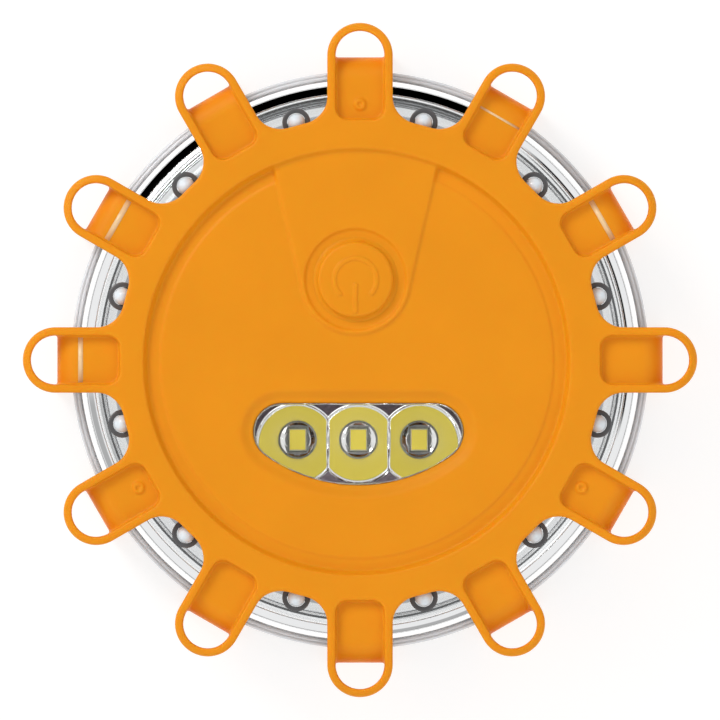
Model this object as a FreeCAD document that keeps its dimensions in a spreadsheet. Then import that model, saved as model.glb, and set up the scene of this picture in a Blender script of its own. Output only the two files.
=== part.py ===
import FreeCAD, Part
import os
import re
import Sketcher

# LED safety flare: a round magnetic road puck with a clear two-piece housing under a soft orange cover.
# Twelve cover arms wrap over the rim, each with an open bumper loop, and hook under the back edge.
# Twelve side LEDs shine out between the arms; three white LEDs in a triple reflector shine up the face.
# Frame: the puck lies on its back, Z up through the face, origin on the floor under its centre,
# and Y towards the power button. Sizes are millimetres.

DRIVING = [
    # rubber cover
    ("top_z", 32.0, "top of the cover's outer ring"),
    ("face_z", 30.9, "sunk face inside the ring"),
    ("cover_base_z", 29.0, "underside of the cover, on the clear housing"),
    ("valley_rad", 37.8, "cover's edge between two arms"),
    ("recess_rad", 33.1, "outer edge of the sloping step down to the face"),
    ("recess_slope", 2.4, "radial width of that step"),
    ("arm_wide", 10.2, "width of an arm over its two rails"),
    ("arm_blend", 3.4, "inside radius where an arm meets the ring"),
    ("arm_root", 41.5, "plane where the face ends and the wrapped arms begin"),
    ("rail_wide", 1.3, "width of each raised rail"),
    ("pocket_start", 37.4, "inner end of an arm's pocket"),
    ("pocket_corner", 1.9, "corner radius of that pocket"),
    ("pocket_deep", 1.4, "depth of the pocket below the rails"),
    ("gate_rad", 39.8, "distance out of the three moulding nubs"),
    ("arm_bend", 43.7, "radius where the arms turn down"),
    ("strap_rad", 47.2, "outside of an arm's side strap"),
    ("rail_rise", 1.0, "how far the rails stand out of the strap"),
    ("loop_rad", 52.5, "tip of the bumper loops, half the overall size"),
    ("loop_z", 27.4, "underside of a bumper loop"),
    ("loop_drop", 1.4, "how far the loop's tip drops below the rails"),
    ("loop_curve", 5.0, "length over which it drops"),
    ("gusset_rad", 3.0, "inside radius under the loop"),
    ("foot_rad", 1.2, "outside radius at the foot of an arm"),
    ("under_rad", 1.75, "inside radius where an arm turns down"),
    ("lip_thick", 1.8, "thickness of the lip under the housing"),
    ("rubber_gap", 0.15, "gap between rubber and housing on curved faces"),
    # power button
    ("button_x", -0.7, "button centre, across"),
    ("button_y", 12.5, "button centre, towards +Y"),
    ("cap_rad", 5.85, "radius of the button cap"),
    ("moat_rad", 7.8, "radius of the groove around the cap"),
    ("moat_z", 30.6, "floor of that groove"),
    ("web_thick", 0.7, "thickness of the rubber web in the groove"),
    ("cap_z", 29.9, "underside of the cap at rest"),
    ("cap_thick", 2.2, "thickness of the cap"),
    ("button_gap", 0.15, "clearance round the cap"),
    ("shield_rad", 8.55, "rounded end of the raised panel around the button"),
    ("shield_half", 12.8, "half width of that panel at the ring"),
    ("icon_rad", 3.3, "middle radius of the power symbol's ring"),
    ("icon_line", 0.7, "line width of the power symbol"),
    ("icon_rise", 0.25, "height of the power symbol"),
    # lamp window
    ("win_x", -0.25, "middle of the lamp window, across"),
    ("win_top", 6.9, "window's straight edge, below the centre"),
    ("win_low", 19.3, "window's lowest point, below the centre"),
    ("win_corner", 4.3, "corner radius of the window"),
    ("win_cx", 11.9, "corner centre, out from the middle"),
    ("bevel_wide", 2.4, "width of the sunk bevel round the window"),
    ("bevel_deep", 0.8, "depth of that bevel"),
    ("win_gap", 0.15, "gap between cover and clear window"),
    ("win_z", 30.3, "top of the clear window"),
    # front housing
    ("plate_thick", 2.0, "thickness of the clear top plate"),
    ("plate_rad", 40.1, "edge of the flat top plate"),
    ("plate_step", 0.25, "small step at that edge"),
    ("brow_rad", 41.55, "end of the shoulder's gentle slope"),
    ("brow_z", 28.3, "height there"),
    ("seat_z", 28.05, "inner edge of the trim ring's seat"),
    ("bend_rad", 42.95, "outer edge of that seat"),
    ("bend_z", 27.08, "height there"),
    ("cheek_rad", 43.4, "end of the shoulder's steep slope"),
    ("cheek_z", 26.4, "height there"),
    ("wall_rad", 43.7, "outside of the front housing's wall"),
    ("wall_top", 25.5, "top of the upright wall"),
    ("wall_thick", 1.8, "thickness of that wall at the seal"),
    ("lens_thick", 1.3, "thickness of that wall in front of the LEDs"),
    ("lens_low", 17.0, "where the wall gets thinner"),
    ("wall_low", 4.3, "foot of the wall inside the rear housing"),
    ("dome_ring", 38.3, "distance out of the twelve dome lenses"),
    ("dome_rad", 1.4, "radius of a dome lens"),
    ("dome_z", 28.9, "centre height of a dome lens"),
    ("dome_room", 2.45, "radius of the room over a dome lens"),
    ("dome_room_z", 28.35, "centre height of that room"),
    ("slot_deep", 0.8, "depth of the window notch in front of each side LED"),
    ("slot_wide", 8.2, "width of that notch"),
    ("slot_z", 17.4, "foot of that notch"),
    ("slot_top", 25.0, "top of that notch"),
    # rear housing
    ("rear_rad", 45.2, "outside of the rear housing"),
    ("rear_top", 17.0, "top of the rear housing's rim"),
    ("rear_wall", 1.3, "thickness of that rim"),
    ("rear_edge_z", 2.0, "underside of the rim, above the rubber lips"),
    ("rear_back_z", 1.0, "outside of the back"),
    ("rear_back_rad", 40.6, "edge of the thick back"),
    ("rear_floor_z", 4.0, "inside of the back plate"),
    ("ring_z", 10.0, "height of the main seal ring"),
    ("ring_line", 1.3, "section of the main seal ring"),
    ("groove_deep", 1.2, "depth of that ring's groove"),
    # screws
    ("screw_ring", 37.5, "distance out of the six housing screws"),
    ("boss_rad", 3.0, "screw boss"),
    ("screw_rad", 1.25, "screw shank"),
    ("screw_head", 2.3, "screw head radius"),
    ("screw_head_thick", 1.4, "screw head height"),
    ("screw_long", 11.0, "screw shank length"),
    ("screw_z", 1.3, "outer face of the housing screws' heads"),
    ("boss_split", 9.0, "where the rear and front screw bosses meet"),
    ("boss_hole_top", 14.5, "end of the screw hole in the front boss"),
    ("bore_gap", 0.05, "clearance round shanks and pins"),
    ("drive_half", 1.5, "half length of a cross recess"),
    ("drive_line", 0.5, "width of a cross recess"),
    ("drive_deep", 0.8, "depth of a cross recess"),
    # battery box and door
    ("cell_rad", 5.25, "AAA cell radius"),
    ("cell_long", 43.3, "AAA cell length without its nub"),
    ("nub_rad", 1.9, "cell nub radius"),
    ("nub_long", 1.2, "cell nub length"),
    ("cell_pitch", 10.8, "spacing of the cells"),
    ("cell_z", 10.0, "height of the cells' axes"),
    ("contact_thick", 0.4, "thickness of the contact plates"),
    ("box_y", -4.0, "middle of the battery box"),
    ("box_half_x", 25.0, "half the inside length of the box"),
    ("box_half_y", 16.6, "half the inside width of the box"),
    ("box_wall", 1.2, "wall of the box"),
    ("box_top", 17.0, "top of the box"),
    ("box_roof", 1.2, "thickness of the box's roof"),
    ("door_half_x", 28.5, "half length of the door"),
    ("door_half_y", 18.3, "half width of the door"),
    ("door_corner", 4.0, "corner radius of the door"),
    ("door_thick", 1.6, "thickness of the door's flange"),
    ("door_gap", 0.2, "gap round the door"),
    ("plug_top", 4.4, "top of the door's plug"),
    ("plug_gap", 0.3, "gap round the plug"),
    ("tab_x", 30.0, "screw tab centre"),
    ("tab_rad", 3.8, "screw tab radius"),
    ("seal_thick", 0.6, "thickness of the door seal"),
    ("seal_wide", 1.2, "width of the door seal"),
    ("insert_rad", 1.8, "radius of the brass inserts"),
    ("insert_top", 8.5, "top of the bosses round the inserts"),
    # magnet
    ("magnet_rad", 12.5, "radius of the magnet's steel cup"),
    ("magnet_wall", 1.6, "wall of the cup"),
    ("magnet_base", 1.0, "base of the cup"),
    ("magnet_z", 0.15, "face of the magnet, a little above the rubber feet"),
    ("magnet_top", 3.3, "back of the magnet"),
    # hook
    ("pivot_y", 18.6, "hook pivot"),
    ("pivot_z", 3.1, "height of the pivot"),
    ("pin_rad", 0.8, "pivot pin radius"),
    ("pin_half", 8.9, "half length of the pin"),
    ("barrel_rad", 1.9, "hook's barrel radius"),
    ("barrel_half", 5.6, "half length of the barrel"),
    ("hook_thick", 2.8, "thickness of the hook"),
    ("hook_y", 29.8, "middle of the hook's ring"),
    ("hook_rad", 7.2, "outside radius of the ring"),
    ("hook_bore", 4.4, "inside radius of the ring"),
    ("hook_tip_y", 27.4, "end of the hook's free end"),
    ("well_half", 8.0, "half width of the hook's well"),
    ("well_start", 16.0, "end of the well at the pivot"),
    ("well_end", 38.6, "end of the well at the rim"),
    ("well_z", 5.3, "ceiling of the well"),
    ("well_wall", 1.6, "wall round the well"),
    # electronics
    ("board_rad", 31.8, "circuit board radius"),
    ("board_z", 18.2, "underside of the board"),
    ("board_thick", 1.6, "thickness of the board"),
    ("post_rad", 2.6, "board post radius"),
    ("post_ax", 19.8, "board posts by the hook, across"),
    ("post_ay", 19.8, "board posts by the hook, along"),
    ("post_bx", 12.0, "board posts by the lamp, across"),
    ("post_by", 25.4, "board posts by the lamp, along"),
    ("peg_rad", 1.0, "board screw shank"),
    ("peg_head", 1.9, "board screw head"),
    ("peg_head_thick", 1.2, "height of that head"),
    ("peg_long", 7.0, "length of that shank"),
    ("led_z", 23.4, "axis height of the side LEDs"),
    ("led_rad", 2.5, "side LED radius"),
    ("led_flange", 2.9, "side LED flange radius"),
    ("led_back", 33.4, "back of the side LEDs"),
    ("led_tip", 41.2, "tip of the side LEDs"),
    ("lead_gap", 1.27, "half the spacing of an LED's two leads"),
    ("lead_size", 0.5, "lead thickness"),
    ("lead_rad", 30.6, "where the leads turn down to the board"),
    ("bezel_in", 32.2, "inner edge of the bright ring over the side LEDs"),
    ("bezel_flat", 37.6, "where that ring starts to fall"),
    ("bezel_top", 26.8, "top of that ring"),
    ("lip_rad", 40.0, "inner end of its first slope"),
    ("lip_z", 26.42, "height there"),
    ("rise_rad", 41.2, "inner end of its middle slope"),
    ("rise_z", 26.1, "height there"),
    ("skirt_rad", 42.1, "inner end of its steep slope"),
    ("skirt_z", 25.45, "height there"),
    ("bezel_thick", 0.45, "thickness of that ring"),
    ("collar_in", 1.45, "inner radius of the dark collar round each dome lens"),
    ("collar_out", 2.2, "outer radius of that collar"),
    ("collar_high", 0.25, "height of that collar"),
    ("trim_in", 41.6, "inner edge of the bright trim ring on the shoulder"),
    ("trim_out", 42.78, "outer edge of that trim ring"),
    ("trim_gap", 0.03, "glue gap under that trim ring"),
    ("lamp_pitch", 9.5, "spacing of the white LEDs"),
    ("lamp_y", 12.45, "row of white LEDs, below the centre"),
    ("lamp_x", 2.8, "white LED package, across"),
    ("lamp_long", 3.5, "white LED package, along"),
    ("lamp_thick", 0.7, "white LED package height"),
    ("phosphor_x", 2.4, "phosphor window, across"),
    ("phosphor_y", 3.1, "phosphor window, along"),
    ("cup_top_rad", 5.75, "mouth radius of a reflector cup"),
    ("cup_low_rad", 3.0, "foot radius of a reflector cup"),
    ("mirror_top", 26.8, "top of the lamp reflector"),
    ("mirror_skirt", 0.9, "reflector's margin round the window"),
    ("switch_half", 3.0, "half the tact switch's side"),
    ("switch_thick", 3.4, "tact switch height"),
    ("stem_rad", 1.7, "tact switch stem radius"),
    ("stem_top", 24.2, "top of the stem"),
    ("plunger_rad", 2.5, "radius of the plunger under the cap"),
    ("seal_rad", 6.2, "outer radius of the plunger's seal"),
    ("seal_deep", 0.6, "thickness of the plunger's seal"),
    ("wire_rad", 0.3, "spring wire radius"),
    ("spring_big", 3.2, "battery spring radius at its base"),
    ("spring_small", 2.0, "battery spring radius at the cell"),
]
ARMS = 12
SCREWS = 6
COILS = 4
ALIASES = {alias for alias, _, _ in DRIVING}

doc = FreeCAD.newDocument("safety_flare")
sizes = doc.addObject("Spreadsheet::Sheet", "Sizes")
for row, (alias, number, note) in enumerate(DRIVING, start=1):
    sizes.set(f"A{row}", note)
    sizes.set(f"B{row}", str(number))
    sizes.setAlias(f"B{row}", alias)
doc.recompute()
nodes = []


# ---------------------------------------------------------------- helpers


def dim(text):
    """An expression with each alias pointed at its cell in the sheet."""
    return re.sub(r"[a-z_]+", lambda w: f"Sizes.{w[0]}" if w[0] in ALIASES else w[0], text)


def value(text):
    """What an expression comes to, in millimetres."""
    return float(sizes.evalExpression(text))


def bind(thing, path, text):
    thing.setExpression(path, dim(text))


def keep(thing, label):
    """Names a sub-part, so that it is written to a file of that name."""
    thing.Label = label
    nodes.append(thing)
    return thing


def new_body(label, compound=False):
    body = doc.addObject("PartDesign::Body", label + "_body")
    body.AllowCompound = compound
    return keep(body, label)


def origin_part(body, role):
    return next(f for f in body.Origin.OriginFeatures if f.Role == role)


def add_corner(sketch, geo, point, x_text, y_text):
    """Pins one end of a sketch line at a place worked out from the sheet."""
    for kind, text in (("DistanceX", x_text), ("DistanceY", y_text)):
        number = sketch.addConstraint(Sketcher.Constraint(kind, geo, point, value(text)))
        sketch.setExpression(f"Constraints[{number}]", dim(text))


def arc_between(start, end, radius, turn):
    """The short arc from start to end; turn is 1 for anticlockwise and -1 for clockwise."""
    first, last = (start, end) if turn > 0 else (end, start)
    chord = last - first
    reach = max(radius**2 - (chord.Length / 2) ** 2, 0.0) ** 0.5
    side = FreeCAD.Vector(-chord.y, chord.x, 0).normalize()
    centre = (first + last) * 0.5 + side * reach
    circle = Part.Circle(centre, FreeCAD.Vector(0, 0, 1), radius)
    return Part.ArcOfCircle(circle, circle.parameter(first), circle.parameter(last))


def draw_loop(sketch, corners):
    """Closed outline: a corner is (x, y), or (x, y, radius, turn) when an arc leads to it."""
    places = [FreeCAD.Vector(value(c[0]), value(c[1]), 0) for c in corners]
    ends = []
    for i, corner in enumerate(corners):
        start, end = places[i - 1], places[i]
        if len(corner) == 2:
            geo = sketch.addGeometry(Part.LineSegment(start, end), False)
            ends.append((geo, 1, 2))
        else:
            radius, turn = corner[2:]
            geo = sketch.addGeometry(arc_between(start, end, value(radius), turn), False)
            ends.append((geo, 1, 2) if turn > 0 else (geo, 2, 1))
            number = sketch.addConstraint(Sketcher.Constraint("Radius", geo, value(radius)))
            sketch.setExpression(f"Constraints[{number}]", dim(radius))
    for i, (geo, first, last) in enumerate(ends):
        before, _, before_last = ends[i - 1]
        sketch.addConstraint(Sketcher.Constraint("Coincident", before, before_last, geo, first))
        add_corner(sketch, geo, last, *corners[i][:2])


def draw_circle(sketch, x_text, y_text, radius):
    centre = FreeCAD.Vector(value(x_text), value(y_text), 0)
    circle = Part.Circle(centre, FreeCAD.Vector(0, 0, 1), value(radius))
    geo = sketch.addGeometry(circle, False)
    add_corner(sketch, geo, 3, x_text, y_text)
    number = sketch.addConstraint(Sketcher.Constraint("Radius", geo, value(radius)))
    sketch.setExpression(f"Constraints[{number}]", dim(radius))


def draw(body, name, plane, loops, lift="0", shift="0"):
    """A sketch on one of the body's origin planes; a loop of three texts is a circle."""
    sketch = body.newObject("Sketcher::SketchObject", name)
    sketch.AttachmentSupport = [(origin_part(body, plane), "")]
    sketch.MapMode = "FlatFace"
    bind(sketch, "AttachmentOffset.Base.z", lift)
    bind(sketch, "AttachmentOffset.Base.y", shift)
    doc.recompute()
    for loop in loops:
        if isinstance(loop, tuple):
            draw_circle(sketch, *loop)
        else:
            draw_loop(sketch, loop)
    return sketch


def feature(body, kind, name, sketch, length=None, symmetric=False, back=False):
    """A Pad or Pocket; a pocket cuts against its sketch's normal unless back is set."""
    made = body.newObject(f"PartDesign::{kind}", name)
    made.Profile = sketch
    if length is None:
        made.Type = "ThroughAll"
    else:
        bind(made, "Length", length)
    if symmetric:
        made.SideType = "Symmetric"
    made.Reversed = back
    made.Refine = True
    return made


def revolve(body, name, sketch, axis="V_Axis", kind="Revolution"):
    made = body.newObject(f"PartDesign::{kind}", name)
    made.Profile = sketch
    made.ReferenceAxis = (sketch, [axis])
    made.Angle = 360
    made.Refine = True
    return made


def polar(body, name, originals, count, whole=False):
    """Repeats features, or the whole body, round Z."""
    made = body.newObject("PartDesign::PolarPattern", name)
    made.TransformMode = "Whole shape" if whole else "Features"
    if not whole:
        made.Originals = originals
    made.Axis = (origin_part(body, "Z_Axis"), [""])
    made.Angle = 360
    made.Occurrences = count
    body.Tip = made
    doc.recompute()
    return made


def turn_body(body, degrees):
    body.Placement = FreeCAD.Placement(
        FreeCAD.Vector(), FreeCAD.Rotation(FreeCAD.Vector(0, 0, 1), degrees)
    )


def rectangle(x_low, x_high, y_low, y_high):
    return [(x_low, y_low), (x_high, y_low), (x_high, y_high), (x_low, y_high)]


def rounded(half_x, half_y, corner, y_mid="0"):
    """A rectangle about (0, y_mid) with rounded corners."""
    x_in, y_in = f"({half_x} - {corner})", f"({half_y} - {corner})"
    low, high = f"{y_mid} - {half_y}", f"{y_mid} + {half_y}"
    return [
        (x_in, low),
        (half_x, f"{y_mid} - {y_in}", corner, 1),
        (half_x, f"{y_mid} + {y_in}"),
        (x_in, high, corner, 1),
        (f"-{x_in}", high),
        (f"-({half_x})", f"{y_mid} + {y_in}", corner, 1),
        (f"-({half_x})", f"{y_mid} - {y_in}"),
        (f"-{x_in}", low, corner, 1),
    ]


def window(grow):
    """The lamp window's outline: a straight edge above, one long arc below, grown by a margin."""
    small = f"(win_corner + {grow})"
    drop = "(win_low - win_top - win_corner)"
    big = f"((win_cx^2 + {drop}^2 - win_corner^2) / (2 * ({drop} - win_corner)))"
    centre_y = f"({big} - win_low)"
    apart = f"({big} - win_corner)"
    touch_x = f"(win_cx * ({big} + {grow}) / {apart})"
    touch_y = f"({centre_y} - ({centre_y} + win_top + win_corner) * ({big} + {grow}) / {apart})"
    top, side = f"-(win_top - {grow})", f"(win_cx + {small})"
    return [
        ("win_x - win_cx", top),
        (f"win_x - {side}", "-(win_top + win_corner)", small, 1),
        (f"win_x - {touch_x}", touch_y, small, 1),
        (f"win_x + {touch_x}", touch_y, f"({big} + {grow})", 1),
        (f"win_x + {side}", "-(win_top + win_corner)", small, 1),
        ("win_x + win_cx", top, small, 1),
    ]


def cylinder(name, radius, height, x="0", y="0", z="0", tilt=None):
    """A Part cylinder; tilt is the axis it lies along, when not Z."""
    made = doc.addObject("Part::Cylinder", name)
    bind(made, "Radius", radius)
    bind(made, "Height", height)
    if tilt:
        turned = FreeCAD.Rotation(FreeCAD.Vector(0, 0, 1), FreeCAD.Vector(*tilt))
        made.Placement = FreeCAD.Placement(FreeCAD.Vector(), turned)
    for axis, text in zip("xyz", (x, y, z)):
        bind(made, f"Placement.Base.{axis}", text)
    return made


def block(name, size, corner):
    """A Part box from its size and its lowest corner."""
    made = doc.addObject("Part::Box", name)
    for prop, text in zip(("Length", "Width", "Height"), size):
        bind(made, prop, text)
    for axis, text in zip("xyz", corner):
        bind(made, f"Placement.Base.{axis}", text)
    return made


def fuse(name, shapes):
    made = doc.addObject("Part::MultiFuse", name)
    made.Shapes = shapes
    made.Refine = True
    return made


def copies(label, master, placements):
    """One node holding separate solids: copies of a master shape."""
    doc.recompute()
    made = doc.addObject("Part::Feature", label + "_group")
    solids = []
    for place in placements:
        copy = master.Shape.copy()
        copy.Placement = place.multiply(copy.Placement)
        solids.extend(copy.Solids)
    made.Shape = Part.Compound(solids)
    return keep(made, label)


def moved(x=0.0, y=0.0, z=0.0, turn=0.0):
    """A placement: a shift, then a turn about Z in degrees."""
    spin = FreeCAD.Placement(FreeCAD.Vector(), FreeCAD.Rotation(FreeCAD.Vector(0, 0, 1), turn))
    return spin.multiply(FreeCAD.Placement(FreeCAD.Vector(x, y, z), FreeCAD.Rotation()))


def spin(corners, angle):
    """The same outline turned about the origin."""
    turned = []
    for corner in corners:
        x_text, y_text = corner[:2]
        x_new = f"(({x_text}) * cos({angle}) - ({y_text}) * sin({angle}))"
        y_new = f"(({x_text}) * sin({angle}) + ({y_text}) * cos({angle}))"
        turned.append((x_new, y_new, *corner[2:]))
    return turned


def cross(x="0", y="0"):
    """The two slots of a cross recess, as one outline of twelve corners."""
    arm, half = "drive_half", "(drive_line / 2)"
    shape = [
        (half, half),
        (half, arm),
        (f"-{half}", arm),
        (f"-{half}", half),
        (f"-{arm}", half),
        (f"-{arm}", f"-{half}"),
        (f"-{half}", f"-{half}"),
        (f"-{half}", f"-{arm}"),
        (half, f"-{arm}"),
        (half, f"-{half}"),
        (arm, f"-{half}"),
        (arm, half),
    ]
    return [(f"{x} + {px}", f"{y} + {py}") for px, py in shape]


def sphere(body, kind, name, radius, x, y, z):
    """A ball added to or taken from a body."""
    made = body.newObject(f"PartDesign::{kind}", name)
    made.AttachmentSupport = [(origin_part(body, "XY_Plane"), "")]
    made.MapMode = "FlatFace"
    bind(made, "Radius", radius)
    for axis, text in zip("xyz", (x, y, z)):
        bind(made, f"AttachmentOffset.Base.{axis}", text)
    return made


STEP = 360 / ARMS
HALF_STEP = STEP / 2
ARM_HALF = "(arm_wide / 2)"
POCKET_HALF = "(arm_wide / 2 - rail_wide)"

# ---------------------------------------------------------------- rubber cover

cover = new_body("rubber_cover")
ring_profile = draw(cover, "CoverSection", "XZ_Plane", [[
    ("0", "cover_base_z"),
    ("valley_rad", "cover_base_z"),
    ("valley_rad", "top_z"),
    ("recess_rad", "top_z"),
    ("recess_rad - recess_slope", "face_z"),
    ("0", "face_z"),
]])
revolve(cover, "CoverDisc", ring_profile)
blend_y = "(arm_wide / 2 + arm_blend)"
blend_x = f"sqrt((valley_rad + arm_blend)^2 - {blend_y}^2)"
touch = "valley_rad / (valley_rad + arm_blend)"
stub = draw(cover, "ArmRoot", "XY_Plane", [[
    (f"{blend_x} * {touch} - 2", f"-({blend_y} * {touch} - 0.5)"),
    (f"{blend_x} * {touch}", f"-({blend_y} * {touch})"),
    (blend_x, f"-{ARM_HALF}", "arm_blend", -1),
    ("arm_root", f"-{ARM_HALF}"),
    ("arm_root", ARM_HALF),
    (blend_x, ARM_HALF),
    (f"{blend_x} * {touch}", f"{blend_y} * {touch}", "arm_blend", -1),
    (f"{blend_x} * {touch} - 2", f"{blend_y} * {touch} - 0.5"),
]], lift="cover_base_z")
stub_pad = feature(cover, "Pad", "ArmRootPad", stub, "top_z - cover_base_z")
polar(cover, "ArmRoots", [stub_pad], ARMS)
pocket_end = "(arm_root + 2)"
inner_pocket = draw(cover, "ArmPocket", "XY_Plane", [[
    (pocket_end, f"-{POCKET_HALF}"),
    (pocket_end, POCKET_HALF),
    ("pocket_start + pocket_corner", POCKET_HALF),
    ("pocket_start", f"{POCKET_HALF} - pocket_corner", "pocket_corner", 1),
    ("pocket_start", f"-({POCKET_HALF} - pocket_corner)"),
    ("pocket_start + pocket_corner", f"-{POCKET_HALF}", "pocket_corner", 1),
]], lift="top_z")
inner_cut = feature(cover, "Pocket", "ArmPocketCut", inner_pocket, "pocket_deep")
polar(cover, "ArmPockets", [inner_cut], ARMS)
dome_x = f"dome_ring * cos({HALF_STEP})"
dome_y = f"dome_ring * sin({HALF_STEP})"
room_cut = sphere(
    cover, "SubtractiveSphere", "DomeRoom", "dome_room", dome_x, dome_y, "dome_room_z"
)
polar(cover, "DomeRooms", [room_cut], ARMS)
nub = draw(cover, "GateNub", "XY_Plane", [("0", "gate_rad", "0.95")], lift="top_z - pocket_deep")
nub_pad = feature(cover, "Pad", "GateNubPad", nub, "0.35")
dimple = draw(
    cover, "GateDimple", "XY_Plane", [("0", "gate_rad", "0.4")], lift="top_z - pocket_deep + 0.35"
)
dimple_cut = feature(cover, "Pocket", "GateDimpleCut", dimple, "0.3")
polar(cover, "GateNubs", [nub_pad, dimple_cut], 3)

reach = "sqrt(shield_half^2 + (30.2 - button_y)^2)"
ux, uy = f"(shield_half / {reach})", f"((30.2 - button_y) / {reach})"
near, wide = f"(shield_rad / {reach})", f"sqrt(1 - (shield_rad / {reach})^2)"
shield_x = f"(shield_rad * ({near} * {ux} + {wide} * {uy}))"
shield_y = f"(button_y + shield_rad * ({near} * {uy} - {wide} * {ux}))"
shield = draw(cover, "ButtonPanel", "XY_Plane", [[
    (f"button_x - {shield_x}", shield_y),
    ("button_x", "button_y - shield_rad", "shield_rad", 1),
    (f"button_x + {shield_x}", shield_y, "shield_rad", 1),
    ("button_x + shield_half", "30.2"),
    ("button_x + shield_half", "33"),
    ("button_x - shield_half", "33"),
    ("button_x - shield_half", "30.2"),
]], lift="face_z - 0.5")
feature(cover, "Pad", "ButtonPanelPad", shield, "top_z - face_z + 0.5")
moat = draw(cover, "ButtonGroove", "XY_Plane", [("button_x", "button_y", "moat_rad")], lift="top_z")
feature(cover, "Pocket", "ButtonGrooveCut", moat, "top_z - moat_z")
under = draw(cover, "ButtonRoom", "XY_Plane", [("button_x", "button_y", "moat_rad")], lift="cover_base_z")
feature(cover, "Pocket", "ButtonRoomCut", under, "moat_z - web_thick - cover_base_z", back=True)
hole = draw(cover, "CapHole", "XY_Plane", [("button_x", "button_y", "cap_rad + button_gap")], lift="top_z")
feature(cover, "Pocket", "CapHoleCut", hole, "top_z - cover_base_z + 1")
bevel = draw(cover, "WindowBevel", "XY_Plane", [window("bevel_wide")], lift="face_z")
feature(cover, "Pocket", "WindowBevelCut", bevel, "bevel_deep")
opening = draw(cover, "WindowOpening", "XY_Plane", [window("win_gap")], lift="face_z + 1")
cover.Tip = feature(cover, "Pocket", "WindowOpeningCut", opening, "face_z - cover_base_z + 2")
doc.recompute()

# ---------------------------------------------------------------- bumper arms

arms = new_body("bumper_arms", compound=True)
loop_centre = f"(loop_rad - {ARM_HALF})"
outline = draw(arms, "ArmOutline", "XY_Plane", [[
    ("arm_root", f"-{ARM_HALF}"),
    (loop_centre, f"-{ARM_HALF}"),
    ("loop_rad", "0", ARM_HALF, 1),
    (loop_centre, ARM_HALF, ARM_HALF, 1),
    ("arm_root", ARM_HALF),
]])
feature(arms, "Pad", "ArmBlank", outline, "top_z")
strap_in = "(rear_rad + rubber_gap)"
room = draw(arms, "HousingRoom", "XZ_Plane", [[
    ("arm_root - 1", "lip_thick"),
    (strap_in, "lip_thick"),
    (strap_in, "cover_base_z - under_rad"),
    (f"{strap_in} - under_rad", "cover_base_z", "under_rad", 1),
    ("arm_root - 1", "cover_base_z"),
]])
feature(arms, "Pocket", "HousingRoomCut", room, "arm_wide + 4", symmetric=True)
rail_out = "(strap_rad + rail_rise)"
outside = draw(arms, "BelowLoop", "XZ_Plane", [[
    (f"{rail_out} - foot_rad", "-1"),
    ("loop_rad + 1", "-1"),
    ("loop_rad + 1", "loop_z"),
    (f"{rail_out} + gusset_rad", "loop_z"),
    (rail_out, "loop_z - gusset_rad", "gusset_rad", 1),
    (rail_out, "foot_rad"),
    (f"{rail_out} - foot_rad", "0", "foot_rad", -1),
]])
feature(arms, "Pocket", "BelowLoopCut", outside, "arm_wide + 4", symmetric=True)
drop_rad = "((loop_curve^2 + loop_drop^2) / (2 * loop_drop))"
above = draw(arms, "AboveLoop", "XZ_Plane", [[
    ("loop_rad - loop_curve", "top_z"),
    ("loop_rad", "top_z - loop_drop", drop_rad, -1),
    ("loop_rad + 1", "top_z - loop_drop"),
    ("loop_rad + 1", "top_z + 1"),
    ("loop_rad - loop_curve", "top_z + 1"),
]])
feature(arms, "Pocket", "AboveLoopCut", above, "arm_wide + 4", symmetric=True)
eye = draw(arms, "LoopEye", "XY_Plane", [[
    ("strap_rad", f"-{POCKET_HALF}"),
    (loop_centre, f"-{POCKET_HALF}"),
    (f"{loop_centre} + {POCKET_HALF}", "0", POCKET_HALF, 1),
    (loop_centre, POCKET_HALF, POCKET_HALF, 1),
    ("strap_rad", POCKET_HALF),
]], lift="-1")
feature(arms, "Pocket", "LoopEyeCut", eye, "top_z + 2", back=True)
floor_z = "(top_z - pocket_deep)"
bend = "(strap_rad - arm_bend)"
floor = draw(arms, "PocketFloor", "XZ_Plane", [[
    ("arm_root - 1", floor_z),
    ("arm_bend", floor_z),
    ("strap_rad", f"{floor_z} - {bend}", bend, -1),
    ("strap_rad + 0.1", f"{floor_z} - {bend}"),
    ("strap_rad + 0.1", "top_z + 1"),
    ("arm_root - 1", "top_z + 1"),
]])
feature(arms, "Pocket", "PocketFloorCut", floor, f"2 * {POCKET_HALF}", symmetric=True)
polar(arms, "Arms", [], ARMS, whole=True)

# ---------------------------------------------------------------- power button

cap = new_body("button_cap")
disc = draw(cap, "CapDisc", "XY_Plane", [("button_x", "button_y", "cap_rad")], lift="cap_z")
cap_pad = feature(cap, "Pad", "CapPad", disc, "cap_thick")
doc.recompute()
crown = cap.newObject("PartDesign::Fillet", "CapRounding")
crown.Base = (cap_pad, ["Face3"])
crown.Radius = 0.6
doc.recompute()
icon_out, icon_in = "(icon_rad + icon_line / 2)", "(icon_rad - icon_line / 2)"
icon = draw(cap, "PowerRing", "XY_Plane", [[
    (f"button_x + {icon_out} * cos(50)", f"button_y - {icon_out} * sin(50)"),
    ("button_x", f"button_y + {icon_out}", icon_out, 1),
    (f"button_x - {icon_out} * cos(50)", f"button_y - {icon_out} * sin(50)", icon_out, 1),
    (f"button_x - {icon_in} * cos(50)", f"button_y - {icon_in} * sin(50)"),
    ("button_x", f"button_y + {icon_in}", icon_in, -1),
    (f"button_x + {icon_in} * cos(50)", f"button_y - {icon_in} * sin(50)", icon_in, -1),
]], lift="cap_z + cap_thick - 0.1")
feature(cap, "Pad", "PowerRingPad", icon, "icon_rise + 0.1")
bar = draw(cap, "PowerBar", "XY_Plane", [rectangle(
    "button_x - icon_line / 2", "button_x + icon_line / 2", "button_y - 5", "button_y - 1.3"
)], lift="cap_z + cap_thick - 0.1")
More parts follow.
